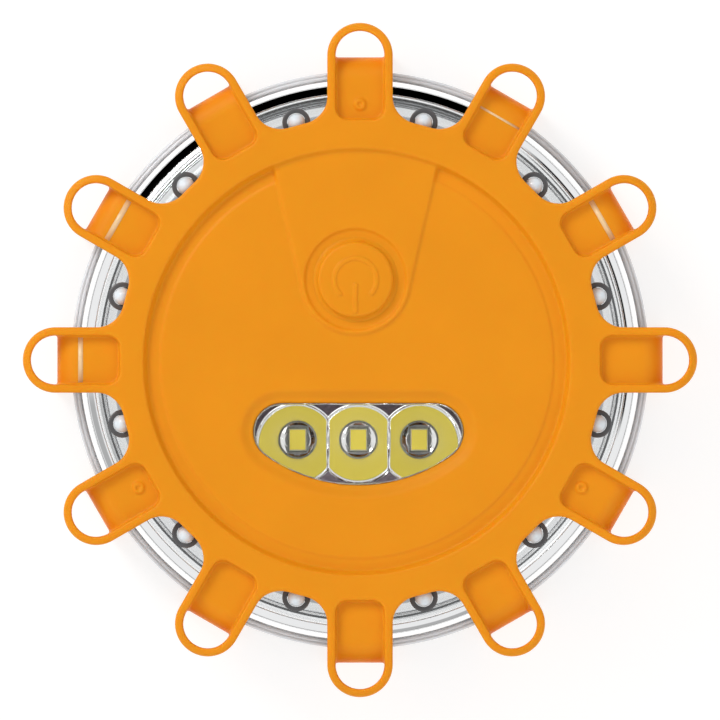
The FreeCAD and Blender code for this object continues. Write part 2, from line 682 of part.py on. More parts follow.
cap.Tip = feature(cap, "Pad", "PowerBarPad", bar, "icon_rise + 0.1")
doc.recompute()

keep(cylinder("plunger", "plunger_rad", "cap_z - stem_top", "button_x", "button_y", "stem_top"),
     "switch_plunger")
keep(cylinder("stem", "stem_rad", "2.2", "button_x", "button_y", "stem_top - 2.2"), "tact_switch_stem")

seal = new_body("switch_seal")
seal_sketch = draw(seal, "SealRing", "XY_Plane", [
    ("button_x", "button_y", "seal_rad - bore_gap"),
    ("button_x", "button_y", "plunger_rad + bore_gap"),
], lift="cover_base_z - seal_deep")
feature(seal, "Pad", "SealPad", seal_sketch, "seal_deep")
doc.recompute()

tact = new_body("tact_switch_body")
tact_sketch = draw(tact, "TactSquare", "XY_Plane", [rectangle(
    "button_x - switch_half", "button_x + switch_half", "button_y - switch_half", "button_y + switch_half"
)], lift="board_z + board_thick")
feature(tact, "Pad", "TactPad", tact_sketch, "switch_thick")
tact_hole = draw(
    tact, "TactBore", "XY_Plane", [("button_x", "button_y", "stem_rad + bore_gap")],
    lift="board_z + board_thick + switch_thick"
)
tact.Tip = feature(tact, "Pocket", "TactBoreCut", tact_hole, "2.3")
doc.recompute()

# ---------------------------------------------------------------- clear front housing

front = new_body("front_shell")
wall_in = "(wall_rad - wall_thick)"
lens_in = "(wall_rad - lens_thick)"
plate_z = "(cover_base_z - plate_thick)"
groove_in = "(wall_rad - groove_deep)"
groove_half = "(ring_line / 2 + 0.1)"
front_profile = draw(front, "FrontSection", "XZ_Plane", [[
    ("0", "cover_base_z"),
    ("0", plate_z),
    (f"{lens_in} - 2.1", plate_z),
    (f"{lens_in} - 1.0", f"{plate_z} - 0.3"),
    (f"{lens_in} - 0.2", f"{plate_z} - 0.9"),
    (lens_in, f"{plate_z} - 1.3"),
    (lens_in, "lens_low"),
    (wall_in, f"lens_low - {lens_in} + {wall_in}"),
    (wall_in, "wall_low"),
    ("wall_rad", "wall_low"),
    ("wall_rad", f"ring_z - {groove_half}"),
    (groove_in, f"ring_z - {groove_half}"),
    (groove_in, f"ring_z + {groove_half}"),
    ("wall_rad", f"ring_z + {groove_half}"),
    ("wall_rad", "wall_top"),
    ("cheek_rad", "cheek_z"),
    ("bend_rad", "bend_z"),
    ("brow_rad", "seat_z"),
    ("brow_rad", "brow_z"),
    ("plate_rad", "cover_base_z - plate_step"),
    ("plate_rad", "cover_base_z"),
]])
revolve(front, "FrontDish", front_profile)
notch = draw(front, "LensNotch", "XY_Plane", [spin(rectangle(
    "wall_rad - slot_deep", "wall_rad + 2", "-slot_wide / 2", "slot_wide / 2"
), HALF_STEP)], lift="slot_z")
notch_cut = feature(front, "Pocket", "LensNotchCut", notch, "slot_top - slot_z", back=True)
polar(front, "LensNotches", [notch_cut], ARMS)
dome = sphere(front, "AdditiveSphere", "Dome", "dome_rad", dome_x, dome_y, "dome_z")
polar(front, "Domes", [dome], ARMS)
trim = draw(front, "DomeTrim", "XZ_Plane", [rectangle(
    "dome_ring - dome_rad - 1", "dome_ring + dome_rad", f"{plate_z} - 2", plate_z
)])
revolve(front, "DomeTrimCut", trim, kind="Groove")
boss = draw(front, "FrontBoss", "XY_Plane", [("screw_ring", "0", "boss_rad")], lift="boss_split + 0.1")
boss_pad = feature(front, "Pad", "FrontBossPad", boss, f"{plate_z} - boss_split")
boss_hole = draw(
    front, "FrontBossHole", "XY_Plane", [("screw_ring", "0", "screw_rad + bore_gap")], lift="boss_split"
)
boss_cut = feature(
    front, "Pocket", "FrontBossHoleCut", boss_hole, "boss_hole_top - boss_split", back=True
)
polar(front, "FrontBosses", [boss_pad, boss_cut], SCREWS)
lens = draw(front, "LampWindow", "XY_Plane", [window("0")], lift=f"{plate_z} + 0.5")
feature(front, "Pad", "LampWindowPad", lens, f"win_z - {plate_z} - 0.5")
seat = draw(front, "SealSeat", "XY_Plane", [("button_x", "button_y", "seal_rad")], lift="cover_base_z")
feature(front, "Pocket", "SealSeatCut", seat, "seal_deep")
bore = draw(
    front, "PlungerBore", "XY_Plane", [("button_x", "button_y", "plunger_rad + 0.3")], lift="cover_base_z"
)
front.Tip = feature(front, "Pocket", "PlungerBoreCut", bore, "plate_thick + 1")
doc.recompute()

# ---------------------------------------------------------------- clear rear housing

rim = new_body("rear_shell")
rim_in = "(rear_rad - rear_wall)"
rim_foot = "(rear_back_rad + bore_gap)"
rim_profile = draw(rim, "RimSection", "XZ_Plane", [[
    (rim_foot, "rear_edge_z"),
    ("rear_rad - 0.4", "rear_edge_z"),
    ("rear_rad", "rear_edge_z + 0.4"),
    ("rear_rad", "rear_top - 0.4"),
    ("rear_rad - 0.4", "rear_top"),
    (rim_in, "rear_top"),
    (rim_in, "rear_floor_z"),
    (rim_foot, "rear_floor_z"),
]])
revolve(rim, "RimRing", rim_profile)
doc.recompute()

# ---------------------------------------------------------------- back plate with the battery box

rear = new_body("back_plate")
rear_profile = draw(rear, "BackSection", "XZ_Plane", [[
    ("0", "rear_back_z"),
    ("rear_back_rad - 0.4", "rear_back_z"),
    ("rear_back_rad", "rear_back_z + 0.4"),
    ("rear_back_rad", "rear_floor_z"),
    ("0", "rear_floor_z"),
]])
revolve(rear, "BackDisc", rear_profile)
box = draw(rear, "BatteryBox", "XY_Plane", [rounded(
    "(box_half_x + box_wall)", "(box_half_y + box_wall)", "2", "box_y"
)], lift="rear_back_z + 1")
feature(rear, "Pad", "BatteryBoxPad", box, "box_top - rear_back_z - 1")
well_out = "(well_half + well_wall)"
well_bend = "(rear_back_rad - 0.1)"
well_side = f"sqrt({well_bend} * {well_bend} - {well_out} * {well_out})"
well_block = draw(rear, "HookWellBlock", "XY_Plane", [[
    (f"-{well_out}", "well_start - well_wall"),
    (well_out, "well_start - well_wall"),
    (well_out, well_side),
    (f"-{well_out}", well_side, well_bend, 1),
]], lift="rear_back_z + 1")
feature(rear, "Pad", "HookWellPad", well_block, "well_z + well_wall - rear_back_z - 1")
rear_boss = draw(rear, "RearBoss", "XY_Plane", [("screw_ring", "0", "boss_rad")], lift="rear_back_z + 1")
rear_boss_pad = feature(rear, "Pad", "RearBossPad", rear_boss, "boss_split - rear_back_z - 1")
polar(rear, "RearBosses", [rear_boss_pad], SCREWS)
posts = draw(rear, "BoardPosts", "XY_Plane", [
    ("post_ax", "post_ay", "post_rad"),
    ("-post_ax", "post_ay", "post_rad"),
    ("post_bx", "-post_by", "post_rad"),
    ("-post_bx", "-post_by", "post_rad"),
], lift="rear_back_z + 1")
feature(rear, "Pad", "BoardPostsPad", posts, "board_z - rear_back_z - 1")
nuts = draw(rear, "InsertBosses", "XY_Plane", [
    ("tab_x", "box_y", "insert_rad + 1.2"),
    ("-tab_x", "box_y", "insert_rad + 1.2"),
], lift="rear_back_z + 1")
feature(rear, "Pad", "InsertBossesPad", nuts, "insert_top - rear_back_z - 1")
hollow = draw(rear, "BatteryRoom", "XY_Plane", [rounded("box_half_x", "box_half_y", "1", "box_y")], lift="0")
feature(rear, "Pocket", "BatteryRoomCut", hollow, "box_top - box_roof", back=True)
seat_z = "(rear_back_z + door_thick + seal_thick)"
door_seat = draw(rear, "DoorSeat", "XY_Plane", [rounded(
    "(door_half_x + door_gap)", "(door_half_y + door_gap)", "(door_corner + door_gap)", "box_y"
)], lift="0")
feature(rear, "Pocket", "DoorSeatCut", door_seat, seat_z, back=True)
tab_seat = draw(rear, "TabSeats", "XY_Plane", [
    ("tab_x", "box_y", "tab_rad + door_gap"),
    ("-tab_x", "box_y", "tab_rad + door_gap"),
], lift="0")
feature(rear, "Pocket", "TabSeatsCut", tab_seat, "rear_back_z + door_thick + 0.1", back=True)
nut_holes = draw(rear, "InsertHoles", "XY_Plane", [
    ("tab_x", "box_y", "insert_rad"),
    ("-tab_x", "box_y", "insert_rad"),
], lift="0")
feature(rear, "Pocket", "InsertHolesCut", nut_holes, "insert_top - 0.6", back=True)
well = draw(rear, "HookWell", "XY_Plane", [rectangle(
    "-well_half", "well_half", "well_start", "well_end"
)], lift="0")
feature(rear, "Pocket", "HookWellCut", well, "well_z", back=True)
pin_hole = draw(rear, "PinHole", "YZ_Plane", [("pivot_y", "pivot_z", "pin_rad + bore_gap")])
feature(rear, "Pocket", "PinHoleCut", pin_hole, "2 * pin_half + 0.1", symmetric=True)
head_seat = draw(rear, "HeadSeat", "XY_Plane", [("screw_ring", "0", "screw_head + 0.15")], lift="0")
head_cut = feature(rear, "Pocket", "HeadSeatCut", head_seat, "screw_z + screw_head_thick", back=True)
shank = draw(rear, "ShankHole", "XY_Plane", [("screw_ring", "0", "screw_rad + bore_gap")], lift="0")
shank_cut = feature(rear, "Pocket", "ShankHoleCut", shank, "boss_split + 1", back=True)
polar(rear, "ScrewHoles", [head_cut, shank_cut], SCREWS)
pegs = draw(rear, "PegHoles", "XY_Plane", [
    ("post_ax", "post_ay", "peg_rad + bore_gap"),
    ("-post_ax", "post_ay", "peg_rad + bore_gap"),
    ("post_bx", "-post_by", "peg_rad + bore_gap"),
    ("-post_bx", "-post_by", "peg_rad + bore_gap"),
], lift="board_z")
feature(rear, "Pocket", "PegHolesCut", pegs, "peg_long")
tail_in = "(box_half_x - contact_thick - 0.1)"
tails = draw(rear, "TailSlots", "XY_Plane", [
    rectangle(tail_in, "(box_half_x + 0.1)", "box_y - cell_pitch - 1.2", "box_y - cell_pitch + 1.2"),
    rectangle("-(box_half_x + 0.1)", f"-{tail_in}", "box_y + cell_pitch - 1.2", "box_y + cell_pitch + 1.2"),
], lift="box_top + 1")
rear.Tip = feature(rear, "Pocket", "TailSlotsCut", tails, "box_roof + 2")
doc.recompute()

# ---------------------------------------------------------------- main seal ring

o_ring = new_body("o_ring")
line_rad = "(ring_line / 2)"
ring_mid = f"({rim_in} - bore_gap - {line_rad})"
ring_section = draw(o_ring, "RingSection", "XZ_Plane", [(ring_mid, "ring_z", line_rad)])
revolve(o_ring, "RingBody", ring_section)
doc.recompute()

# ---------------------------------------------------------------- screws


def cross_screw(label, count, centre, head, shank_rad, head_z, head_thick, long, up=True):
    """Screws with cross recesses; up means that the shank points up."""
    body = new_body(label, compound=True)
    x_text, y_text = centre
    head_low = head_z if up else f"({head_z} - {head_thick})"
    head_sketch = draw(body, label + "Head", "XY_Plane", [(x_text, y_text, head)], lift=head_low)
    feature(body, "Pad", label + "HeadPad", head_sketch, head_thick)
    start = f"({head_z} + {head_thick} - 0.1)" if up else f"({head_z} - {head_thick} - {long})"
    shank_sketch = draw(body, label + "Shank", "XY_Plane", [(x_text, y_text, shank_rad)], lift=start)
    feature(body, "Pad", label + "ShankPad", shank_sketch, f"{long} + 0.1")
    slot = draw(body, label + "Cross", "XY_Plane", [cross(x_text, y_text)], lift=head_z)
    body.Tip = feature(body, "Pocket", label + "CrossCut", slot, "drive_deep", back=up)
    doc.recompute()
    if count > 1:
        polar(body, label + "s", [], count, whole=True)
    return body


cross_screw("housing_screws", SCREWS, ("screw_ring", "0"), "screw_head", "screw_rad",
            "screw_z", "screw_head_thick", "screw_long")
peg_master = cross_screw("board_screw", 1, ("0", "0"), "peg_head", "peg_rad",
                         "(board_z + board_thick + peg_head_thick)", "peg_head_thick",
                         "(peg_long + board_thick - 0.4)", up=False)
door_master = cross_screw("door_screw", 1, ("0", "0"), "screw_head", "screw_rad",
                          "(rear_back_z + 0.1)", "0.9", "5.6")
nodes.remove(peg_master)
nodes.remove(door_master)
post_ax, post_ay = value("post_ax"), value("post_ay")
post_bx, post_by = value("post_bx"), value("post_by")
copies("board_screws", peg_master, [
    moved(post_ax, post_ay), moved(-post_ax, post_ay), moved(post_bx, -post_by), moved(-post_bx, -post_by)
])
tab_x, box_y = value("tab_x"), value("box_y")
copies("door_screws", door_master, [moved(tab_x, box_y), moved(-tab_x, box_y)])

# ---------------------------------------------------------------- battery door and magnet

door = new_body("battery_door")
flange = draw(door, "DoorFlange", "XY_Plane", [rounded(
    "door_half_x", "door_half_y", "door_corner", "box_y"
)], lift="rear_back_z")
feature(door, "Pad", "DoorFlangePad", flange, "door_thick")
tabs = draw(door, "DoorTabs", "XY_Plane", [
    ("tab_x", "box_y", "tab_rad"),
    ("-tab_x", "box_y", "tab_rad"),
], lift="rear_back_z")
feature(door, "Pad", "DoorTabsPad", tabs, "door_thick")
plug = draw(door, "DoorPlug", "XY_Plane", [rounded(
    "(box_half_x - plug_gap)", "(box_half_y - plug_gap)", "1", "box_y"
)], lift="rear_back_z + 1")
feature(door, "Pad", "DoorPlugPad", plug, "plug_top - rear_back_z - 1")
cup_seat = draw(door, "MagnetSeat", "XY_Plane", [("0", "box_y", "magnet_rad + 0.1")], lift="0")
feature(door, "Pocket", "MagnetSeatCut", cup_seat, "magnet_top", back=True)
tab_heads = draw(door, "TabHeads", "XY_Plane", [
    ("tab_x", "box_y", "screw_head + 0.1"),
    ("-tab_x", "box_y", "screw_head + 0.1"),
], lift="0")
feature(door, "Pocket", "TabHeadsCut", tab_heads, "rear_back_z + 1", back=True)
tab_bores = draw(door, "TabBores", "XY_Plane", [
    ("tab_x", "box_y", "screw_rad + bore_gap"),
    ("-tab_x", "box_y", "screw_rad + bore_gap"),
    ("0", "box_y", "screw_rad + bore_gap"),
], lift="0")
door.Tip = feature(door, "Pocket", "TabBoresCut", tab_bores, "plug_top + 1", back=True)
doc.recompute()

gasket = new_body("door_gasket")
gasket_x, gasket_y = "(door_half_x - 0.5)", "(door_half_y - 0.5)"
gasket_sketch = draw(gasket, "GasketRing", "XY_Plane", [
    rounded(gasket_x, gasket_y, "3.5", "box_y"),
    rounded(f"({gasket_x} - seal_wide)", f"({gasket_y} - seal_wide)", "2.3", "box_y"),
], lift="rear_back_z + door_thick + bore_gap")
feature(gasket, "Pad", "GasketPad", gasket_sketch, "seal_thick - bore_gap")
doc.recompute()

inserts = new_body("brass_inserts", compound=True)
insert_sketch = draw(inserts, "InsertRings", "XY_Plane", [
    ("tab_x", "box_y", "insert_rad"),
    ("tab_x", "box_y", "screw_rad + bore_gap"),
    ("-tab_x", "box_y", "insert_rad"),
    ("-tab_x", "box_y", "screw_rad + bore_gap"),
], lift="rear_back_z + door_thick + 0.2")
feature(inserts, "Pad", "InsertPad", insert_sketch, "insert_top - 0.6 - rear_back_z - door_thick - 0.2")
doc.recompute()

cup = new_body("magnet_cup")
cup_in = "(magnet_rad - magnet_wall)"
cup_section = draw(cup, "CupOutline", "XY_Plane", [
    ("0", "box_y", "magnet_rad"),
], lift="magnet_z")
feature(cup, "Pad", "CupPad", cup_section, "magnet_top - magnet_z")
cup_room = draw(cup, "CupRoom", "XY_Plane", [("0", "box_y", cup_in)], lift="0")
feature(cup, "Pocket", "CupRoomCut", cup_room, "magnet_top - magnet_base", back=True)
cup_bore = draw(cup, "CupBore", "XY_Plane", [("0", "box_y", "screw_rad + bore_gap")], lift="0")
cup.Tip = feature(cup, "Pocket", "CupBoreCut", cup_bore, "magnet_top + 1", back=True)
doc.recompute()

ferrite = new_body("magnet")
ferrite_sketch = draw(ferrite, "MagnetRing", "XY_Plane", [
    ("0", "box_y", f"{cup_in} - 0.3"),
    ("0", "box_y", "screw_head + 0.5"),
], lift="magnet_z")
feature(ferrite, "Pad", "MagnetPad", ferrite_sketch, "magnet_top - magnet_base - magnet_z")
doc.recompute()

magnet_screw = cross_screw("magnet_screw", 1, ("0", "box_y"), "screw_head", "screw_rad",
                           "0.9", "(magnet_top - magnet_base - 0.9)", "1.9")

# ---------------------------------------------------------------- hook

hook = new_body("hook")
hook_low = "(pivot_z - barrel_rad)"
eye_ring = draw(hook, "HookRing", "XY_Plane", [
    ("0", "hook_y", "hook_rad"),
    ("0", "hook_y", "hook_bore"),
], lift=hook_low)
feature(hook, "Pad", "HookRingPad", eye_ring, "hook_thick")
gap = draw(hook, "HookGap", "XY_Plane", [rectangle(
    "1.6", "hook_rad + 1", "hook_y - hook_rad - 1", "hook_tip_y"
)], lift=hook_low)
feature(hook, "Pocket", "HookGapCut", gap, "hook_thick", back=True)
shank_bar = draw(hook, "HookShank", "XY_Plane", [rectangle(
    "-2.4", "2.4", "pivot_y", "hook_y - hook_bore - 0.6"
)], lift=hook_low)
feature(hook, "Pad", "HookShankPad", shank_bar, "hook_thick")
barrel = draw(hook, "HookBarrel", "YZ_Plane", [("pivot_y", "pivot_z", "barrel_rad")])
feature(hook, "Pad", "HookBarrelPad", barrel, "2 * barrel_half", symmetric=True)
barrel_bore = draw(hook, "HookBore", "YZ_Plane", [("pivot_y", "pivot_z", "pin_rad + bore_gap")])
hook.Tip = feature(hook, "Pocket", "HookBoreCut", barrel_bore, "2 * barrel_half + 2", symmetric=True)
doc.recompute()

keep(cylinder("pin", "pin_rad", "2 * pin_half", "-pin_half", "pivot_y", "pivot_z", (1, 0, 0)), "hook_pin")

# ---------------------------------------------------------------- cells, contacts and springs

can_end = "(box_half_x - contact_thick - nub_long)"
for number, (row, side) in enumerate(((-1, 1), (0, -1), (1, 1)), start=1):
    row_y = f"box_y + {row} * cell_pitch"
    can_x = f"{can_end} - cell_long" if side > 0 else f"-{can_end}"
    nub_x = can_end if side > 0 else "-(box_half_x - contact_thick)"
    can = cylinder(f"can_{number}", "cell_rad", "cell_long", can_x, row_y, "cell_z", (1, 0, 0))
    tip = cylinder(f"tip_{number}", "nub_rad", "nub_long", nub_x, row_y, "cell_z", (1, 0, 0))
    keep(fuse(f"cell_{number}", [can, tip]), f"aaa_cell_{number}")

contact_in = "(box_half_x - contact_thick)"
plate_low, plate_high = "(cell_z - 4.6)", "9.2"
low_y, high_y = "(box_y - cell_pitch - 4.6)", "(box_y - 4.6)"
contact_parts = [
    block("plate_1", ("contact_thick", "9.2", plate_high), (contact_in, low_y, plate_low)),
    block("plate_2", ("contact_thick", "cell_pitch + 9.2", plate_high), (contact_in, high_y, plate_low)),
    block("plate_3", ("contact_thick", "cell_pitch + 9.2", plate_high), ("-box_half_x", low_y, plate_low)),
    block("plate_4", ("contact_thick", "9.2", plate_high),
          ("-box_half_x", "(box_y + cell_pitch - 4.6)", plate_low)),
    block("tail_1", ("contact_thick", "2", "board_z - cell_z - 4.6"),
          (contact_in, "(box_y - cell_pitch - 1)", "(cell_z + 4.6)")),
    block("tail_2", ("contact_thick", "2", "board_z - cell_z - 4.6"),
          ("-box_half_x", "(box_y + cell_pitch - 1)", "(cell_z + 4.6)")),
]
contacts = keep(fuse("contacts", contact_parts), "battery_contacts")

spring_room = "(2 * box_half_x - 2 * contact_thick - nub_long - cell_long)"
coil_step = f"(({spring_room} - 2 * wire_rad) / {COILS - 1})"
coil_fall = f"((spring_big - spring_small) / {COILS - 1})"
coils = []
for number in range(COILS):
    coil = doc.addObject("Part::Torus", f"coil_{number}")
    bind(coil, "Radius1", f"spring_big - {number} * {coil_fall}")
    bind(coil, "Radius2", "wire_rad")
    bind(coil, "Placement.Base.z", f"{number} * {coil_step}")
    coils.append(coil)
for number in range(COILS - 1):
    side = 1 if number % 2 else -1
    riser_x = f"{side} * (spring_big - {number + 0.5} * {coil_fall})"
    riser_z = f"{number} * {coil_step}"
    coils.append(cylinder(f"riser_{number}", "wire_rad * 0.7", coil_step, riser_x, "0", riser_z))
spring = fuse("spring_master", coils)
wire = value("wire_rad")
face_x = FreeCAD.Placement(FreeCAD.Vector(), FreeCAD.Rotation(FreeCAD.Vector(0, 1, 0), 90))
contact_face = value(contact_in) - wire
cell_z, pitch = value("cell_z"), value("cell_pitch")
half_turn = FreeCAD.Placement(FreeCAD.Vector(), FreeCAD.Rotation(FreeCAD.Vector(0, 0, 1), 180))
spring_places = []
for row, side in ((-1, -1), (0, 1), (1, -1)):
    spot = FreeCAD.Vector(side * contact_face, box_y + row * pitch, cell_z)
    place = FreeCAD.Placement(spot, FreeCAD.Rotation())
    if side > 0:
        place = place.multiply(half_turn)
    spring_places.append(place.multiply(face_x))
copies("battery_springs", spring, spring_places)

# ---------------------------------------------------------------- circuit board

board_top = "(board_z + board_thick)"
board = new_body("main_pcb")
board_sketch = draw(board, "BoardOutline", "XY_Plane", [
    ("0", "0", "board_rad"),
    ("post_ax", "post_ay", "peg_rad + 0.1"),
    ("-post_ax", "post_ay", "peg_rad + 0.1"),
    ("post_bx", "-post_by", "peg_rad + 0.1"),
    ("-post_bx", "-post_by", "peg_rad + 0.1"),
], lift="board_z")
feature(board, "Pad", "BoardPad", board_sketch, "board_thick")
doc.recompute()

side_leds = new_body("side_leds", compound=True)
led_section = draw(side_leds, "LedSection", "XZ_Plane", [[
    ("led_back", "0"),
    ("led_tip", "0"),
    ("led_tip - led_rad", "led_rad", "led_rad", 1),
    ("led_back + 1", "led_rad"),
    ("led_back + 1", "led_flange"),
    ("led_back", "led_flange"),
]], shift="led_z")
revolve(side_leds, "LedBody", led_section, axis="H_Axis")
polar(side_leds, "Leds", [], ARMS, whole=True)
turn_body(side_leds, HALF_STEP)

leads = new_body("side_led_leads", compound=True)
half_lead = "(lead_size / 2)"
for name, side in (("LeadLeft", "-lead_gap"), ("LeadRight", "lead_gap")):
    lead = draw(leads, name, "XZ_Plane", [[
        (f"lead_rad - {half_lead}", board_top),
        (f"lead_rad + {half_lead}", board_top),
        (f"lead_rad + {half_lead}", f"led_z - {half_lead}"),
        ("led_back", f"led_z - {half_lead}"),
        ("led_back", f"led_z + {half_lead}"),
        (f"lead_rad - {half_lead}", f"led_z + {half_lead}"),
    ]], lift=side)
    feature(leads, "Pad", name + "Pad", lead, "lead_size", symmetric=True)
polar(leads, "Leads", [], ARMS, whole=True)
turn_body(leads, HALF_STEP)

bezel = new_body("reflector_ring")
bezel_section = draw(bezel, "BezelSection", "XZ_Plane", [[
    ("bezel_in", "bezel_top - bezel_thick"),
    ("bezel_flat", "bezel_top - bezel_thick"),
    ("lip_rad - 0.1", "lip_z - bezel_thick"),
    ("rise_rad - 0.2", "rise_z - bezel_thick"),
    ("skirt_rad - 0.3", "skirt_z - bezel_thick"),
    ("skirt_rad", "skirt_z - bezel_thick"),
    ("skirt_rad", "skirt_z"),
    ("rise_rad", "rise_z"),
    ("lip_rad", "lip_z"),
    ("bezel_flat", "bezel_top"),
    ("bezel_in", "bezel_top"),
]])
revolve(bezel, "BezelRing", bezel_section)
bezel_loop = ("screw_ring", "0", "boss_rad + 0.2")
bezel_hole = draw(bezel, "BezelHole", "XY_Plane", [bezel_loop], lift="skirt_z - 1")
bezel_cut = feature(bezel, "Pocket", "BezelHoleCut", bezel_hole, "3", back=True)
polar(bezel, "BezelHoles", [bezel_cut], SCREWS)

collar = new_body("dome_collars", compound=True)
collar_loops = [(dome_x, dome_y, "collar_out"), (dome_x, dome_y, "collar_in")]
collar_ring = draw(collar, "CollarRing", "XY_Plane", collar_loops, lift="cover_base_z")
collar_pad = feature(collar, "Pad", "CollarPad", collar_ring, "collar_high")
polar(collar, "Collars", [collar_pad], ARMS, whole=True)

trim_slope = "((seat_z - bend_z) / (bend_rad - brow_rad))"
shoulder_ring = new_body("trim_ring")
trim_section = draw(shoulder_ring, "TrimSection", "XZ_Plane", [[
    ("trim_in", f"seat_z - (trim_in - brow_rad) * {trim_slope} + trim_gap"),
    ("trim_out", f"seat_z - (trim_out - brow_rad) * {trim_slope} + trim_gap"),
    ("trim_out + 0.14", f"seat_z - (trim_out - brow_rad) * {trim_slope} + trim_gap + 0.14"),
    ("trim_in + 0.1", "brow_z + 0.05"),
    ("trim_in", "brow_z + 0.05"),
]])
revolve(shoulder_ring, "TrimRing", trim_section)
doc.recompute()

mirror = new_body("flashlight_reflector")
mirror_sketch = draw(mirror, "MirrorOutline", "XY_Plane", [window("mirror_skirt")], lift=board_top)
feature(mirror, "Pad", "MirrorBlock", mirror_sketch, f"mirror_top - {board_top}")
for number, place in enumerate((-1, 0, 1), start=1):
    cone = mirror.newObject("PartDesign::SubtractiveCone", f"Cup{number}")
    cone.AttachmentSupport = [(origin_part(mirror, "XY_Plane"), "")]
    cone.MapMode = "FlatFace"
    bind(cone, "Radius1", "cup_low_rad")
    bind(cone, "Radius2", "cup_top_rad")
    bind(cone, "Height", f"mirror_top - {board_top}")
    bind(cone, "AttachmentOffset.Base.x", f"win_x + {place} * lamp_pitch")
    bind(cone, "AttachmentOffset.Base.y", "-lamp_y")
    bind(cone, "AttachmentOffset.Base.z", board_top)
    mirror.Tip = cone
doc.recompute()

lamp_bodies = []
lamp_lenses = []
lens_z = f"{board_top} + lamp_thick"
for place in (-1, 0, 1):
    lamp_mid = f"win_x + {place} * lamp_pitch"
    lamp_corner = (f"{lamp_mid} - lamp_x / 2", "-lamp_y - lamp_long / 2", board_top)
    lens_corner = (f"{lamp_mid} - phosphor_x / 2", "-lamp_y - phosphor_y / 2", lens_z)
    lamp_bodies.append(block(f"lamp_{place}", ("lamp_x", "lamp_long", "lamp_thick"), lamp_corner))
    lamp_lenses.append(block(f"phosphor_{place}", ("phosphor_x", "phosphor_y", "0.15"), lens_corner))
keep(fuse("lamps", lamp_bodies), "flashlight_leds")
keep(fuse("phosphors", lamp_lenses), "led_phosphors")

chip_parts = [block("chip", ("6", "4", "1.5"), ("-3", "-2", f"{board_top} + 0.1"))]
for i in range(4):
    for side in (-1, 1):
        leg_y = "1.9" if side > 0 else "-3"
        chip_parts.append(
            block(f"leg_{i}_{side + 1}", ("0.45", "1.1", "0.5"), (f"{-2.1 + 1.27 * i:.2f}", leg_y, board_top))
        )
chip = fuse("chip_all", chip_parts)
copies("controller_chip", chip, [moved(15.0, 2.0)])

sot = fuse("sot_all", [
    block("sot_body", ("2.9", "1.3", "1"), ("-1.45", "-0.65", f"{board_top} + 0.05")),
    block("sot_leg_a", ("0.4", "0.7", "0.3"), ("-1.15", "-1.2", board_top)),
    block("sot_leg_b", ("0.4", "0.7", "0.3"), ("0.75", "-1.2", board_top)),
    block("sot_leg_c", ("0.4", "0.7", "0.3"), ("-0.2", "0.5", board_top)),
])
copies("led_driver_transistors", sot, [moved(-20.0, 6.0), moved(-20.0, 1.5), moved(20.0, 9.0)])

resistor = fuse("resistor_all", [
    block("resistor_body", ("1.2", "0.8", "0.45"), ("-0.6", "-0.4", f"{board_top} + 0.03")),
    block("resistor_end_a", ("0.25", "0.84", "0.5"), ("-0.8", "-0.42", board_top)),
    block("resistor_end_b", ("0.25", "0.84", "0.5"), ("0.55", "-0.42", board_top)),
])
copies("smd_resistors", resistor, [moved(-24.0 + 2.6 * (i % 2), -3.0 - 2.0 * (i // 2)) for i in range(6)])
keep(cylinder("can_capacitor", "2.5", "5.4", "-10", "3", board_top), "capacitor")

# ---------------------------------------------------------------- checks and files

doc.recompute()
for thing in doc.Objects:
    if "Invalid" in thing.State or "Error" in thing.State:
        raise RuntimeError(f"{thing.Name} ({thing.Label}) failed: {thing.State}")
os.makedirs("parts", exist_ok=True)
for node in nodes:
    shape = node.Shape
    if shape.isNull() or not shape.isValid() or not shape.Solids:
        raise RuntimeError(f"{node.Label} has no valid solid")
    shape.exportStep(f"parts/{node.Label}.step")
    size = shape.BoundBox
    print(f"{node.Label:24s} solids {len(shape.Solids):3d} volume {shape.Volume:9.1f} mm3",
          f"z {size.ZMin:6.2f} to {size.ZMax:6.2f}")
print(len(nodes), "nodes")
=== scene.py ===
"""LED safety flare: the looks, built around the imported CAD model.

Sizes are millimetres until a mesh is made. Angles that are given as numbers are degrees.
"""
import math

import bpy
import numpy as np
from mathutils import Matrix, Vector


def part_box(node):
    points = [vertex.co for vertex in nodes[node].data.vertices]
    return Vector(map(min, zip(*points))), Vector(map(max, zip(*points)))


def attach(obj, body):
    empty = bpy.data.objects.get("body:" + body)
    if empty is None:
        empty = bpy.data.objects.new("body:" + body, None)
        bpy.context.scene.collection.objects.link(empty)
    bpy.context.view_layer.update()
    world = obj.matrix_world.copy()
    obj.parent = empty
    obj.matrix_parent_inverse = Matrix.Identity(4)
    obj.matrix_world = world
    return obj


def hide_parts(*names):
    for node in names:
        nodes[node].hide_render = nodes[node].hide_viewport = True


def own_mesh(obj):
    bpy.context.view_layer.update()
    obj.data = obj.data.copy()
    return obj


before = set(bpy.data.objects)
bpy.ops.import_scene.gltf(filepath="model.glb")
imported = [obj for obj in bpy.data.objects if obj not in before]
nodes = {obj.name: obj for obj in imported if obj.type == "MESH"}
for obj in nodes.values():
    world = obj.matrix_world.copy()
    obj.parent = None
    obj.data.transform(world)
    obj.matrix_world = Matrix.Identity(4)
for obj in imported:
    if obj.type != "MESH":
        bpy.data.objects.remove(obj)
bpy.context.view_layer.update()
MM = 0.001
TAU = 2 * math.pi
ARMS = 12
STEP = TAU / ARMS


def node_box(name):
    """A CAD node's lowest and highest corners, in millimetres."""
    low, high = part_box(name)
    return low / MM, high / MM


def node_middle(name):
    """The middle of a CAD node's box, in millimetres."""
    low, high = node_box(name)
    return (low + high) / 2


# ---------------------------------------------------------------- sizes, the first ones read from the frame

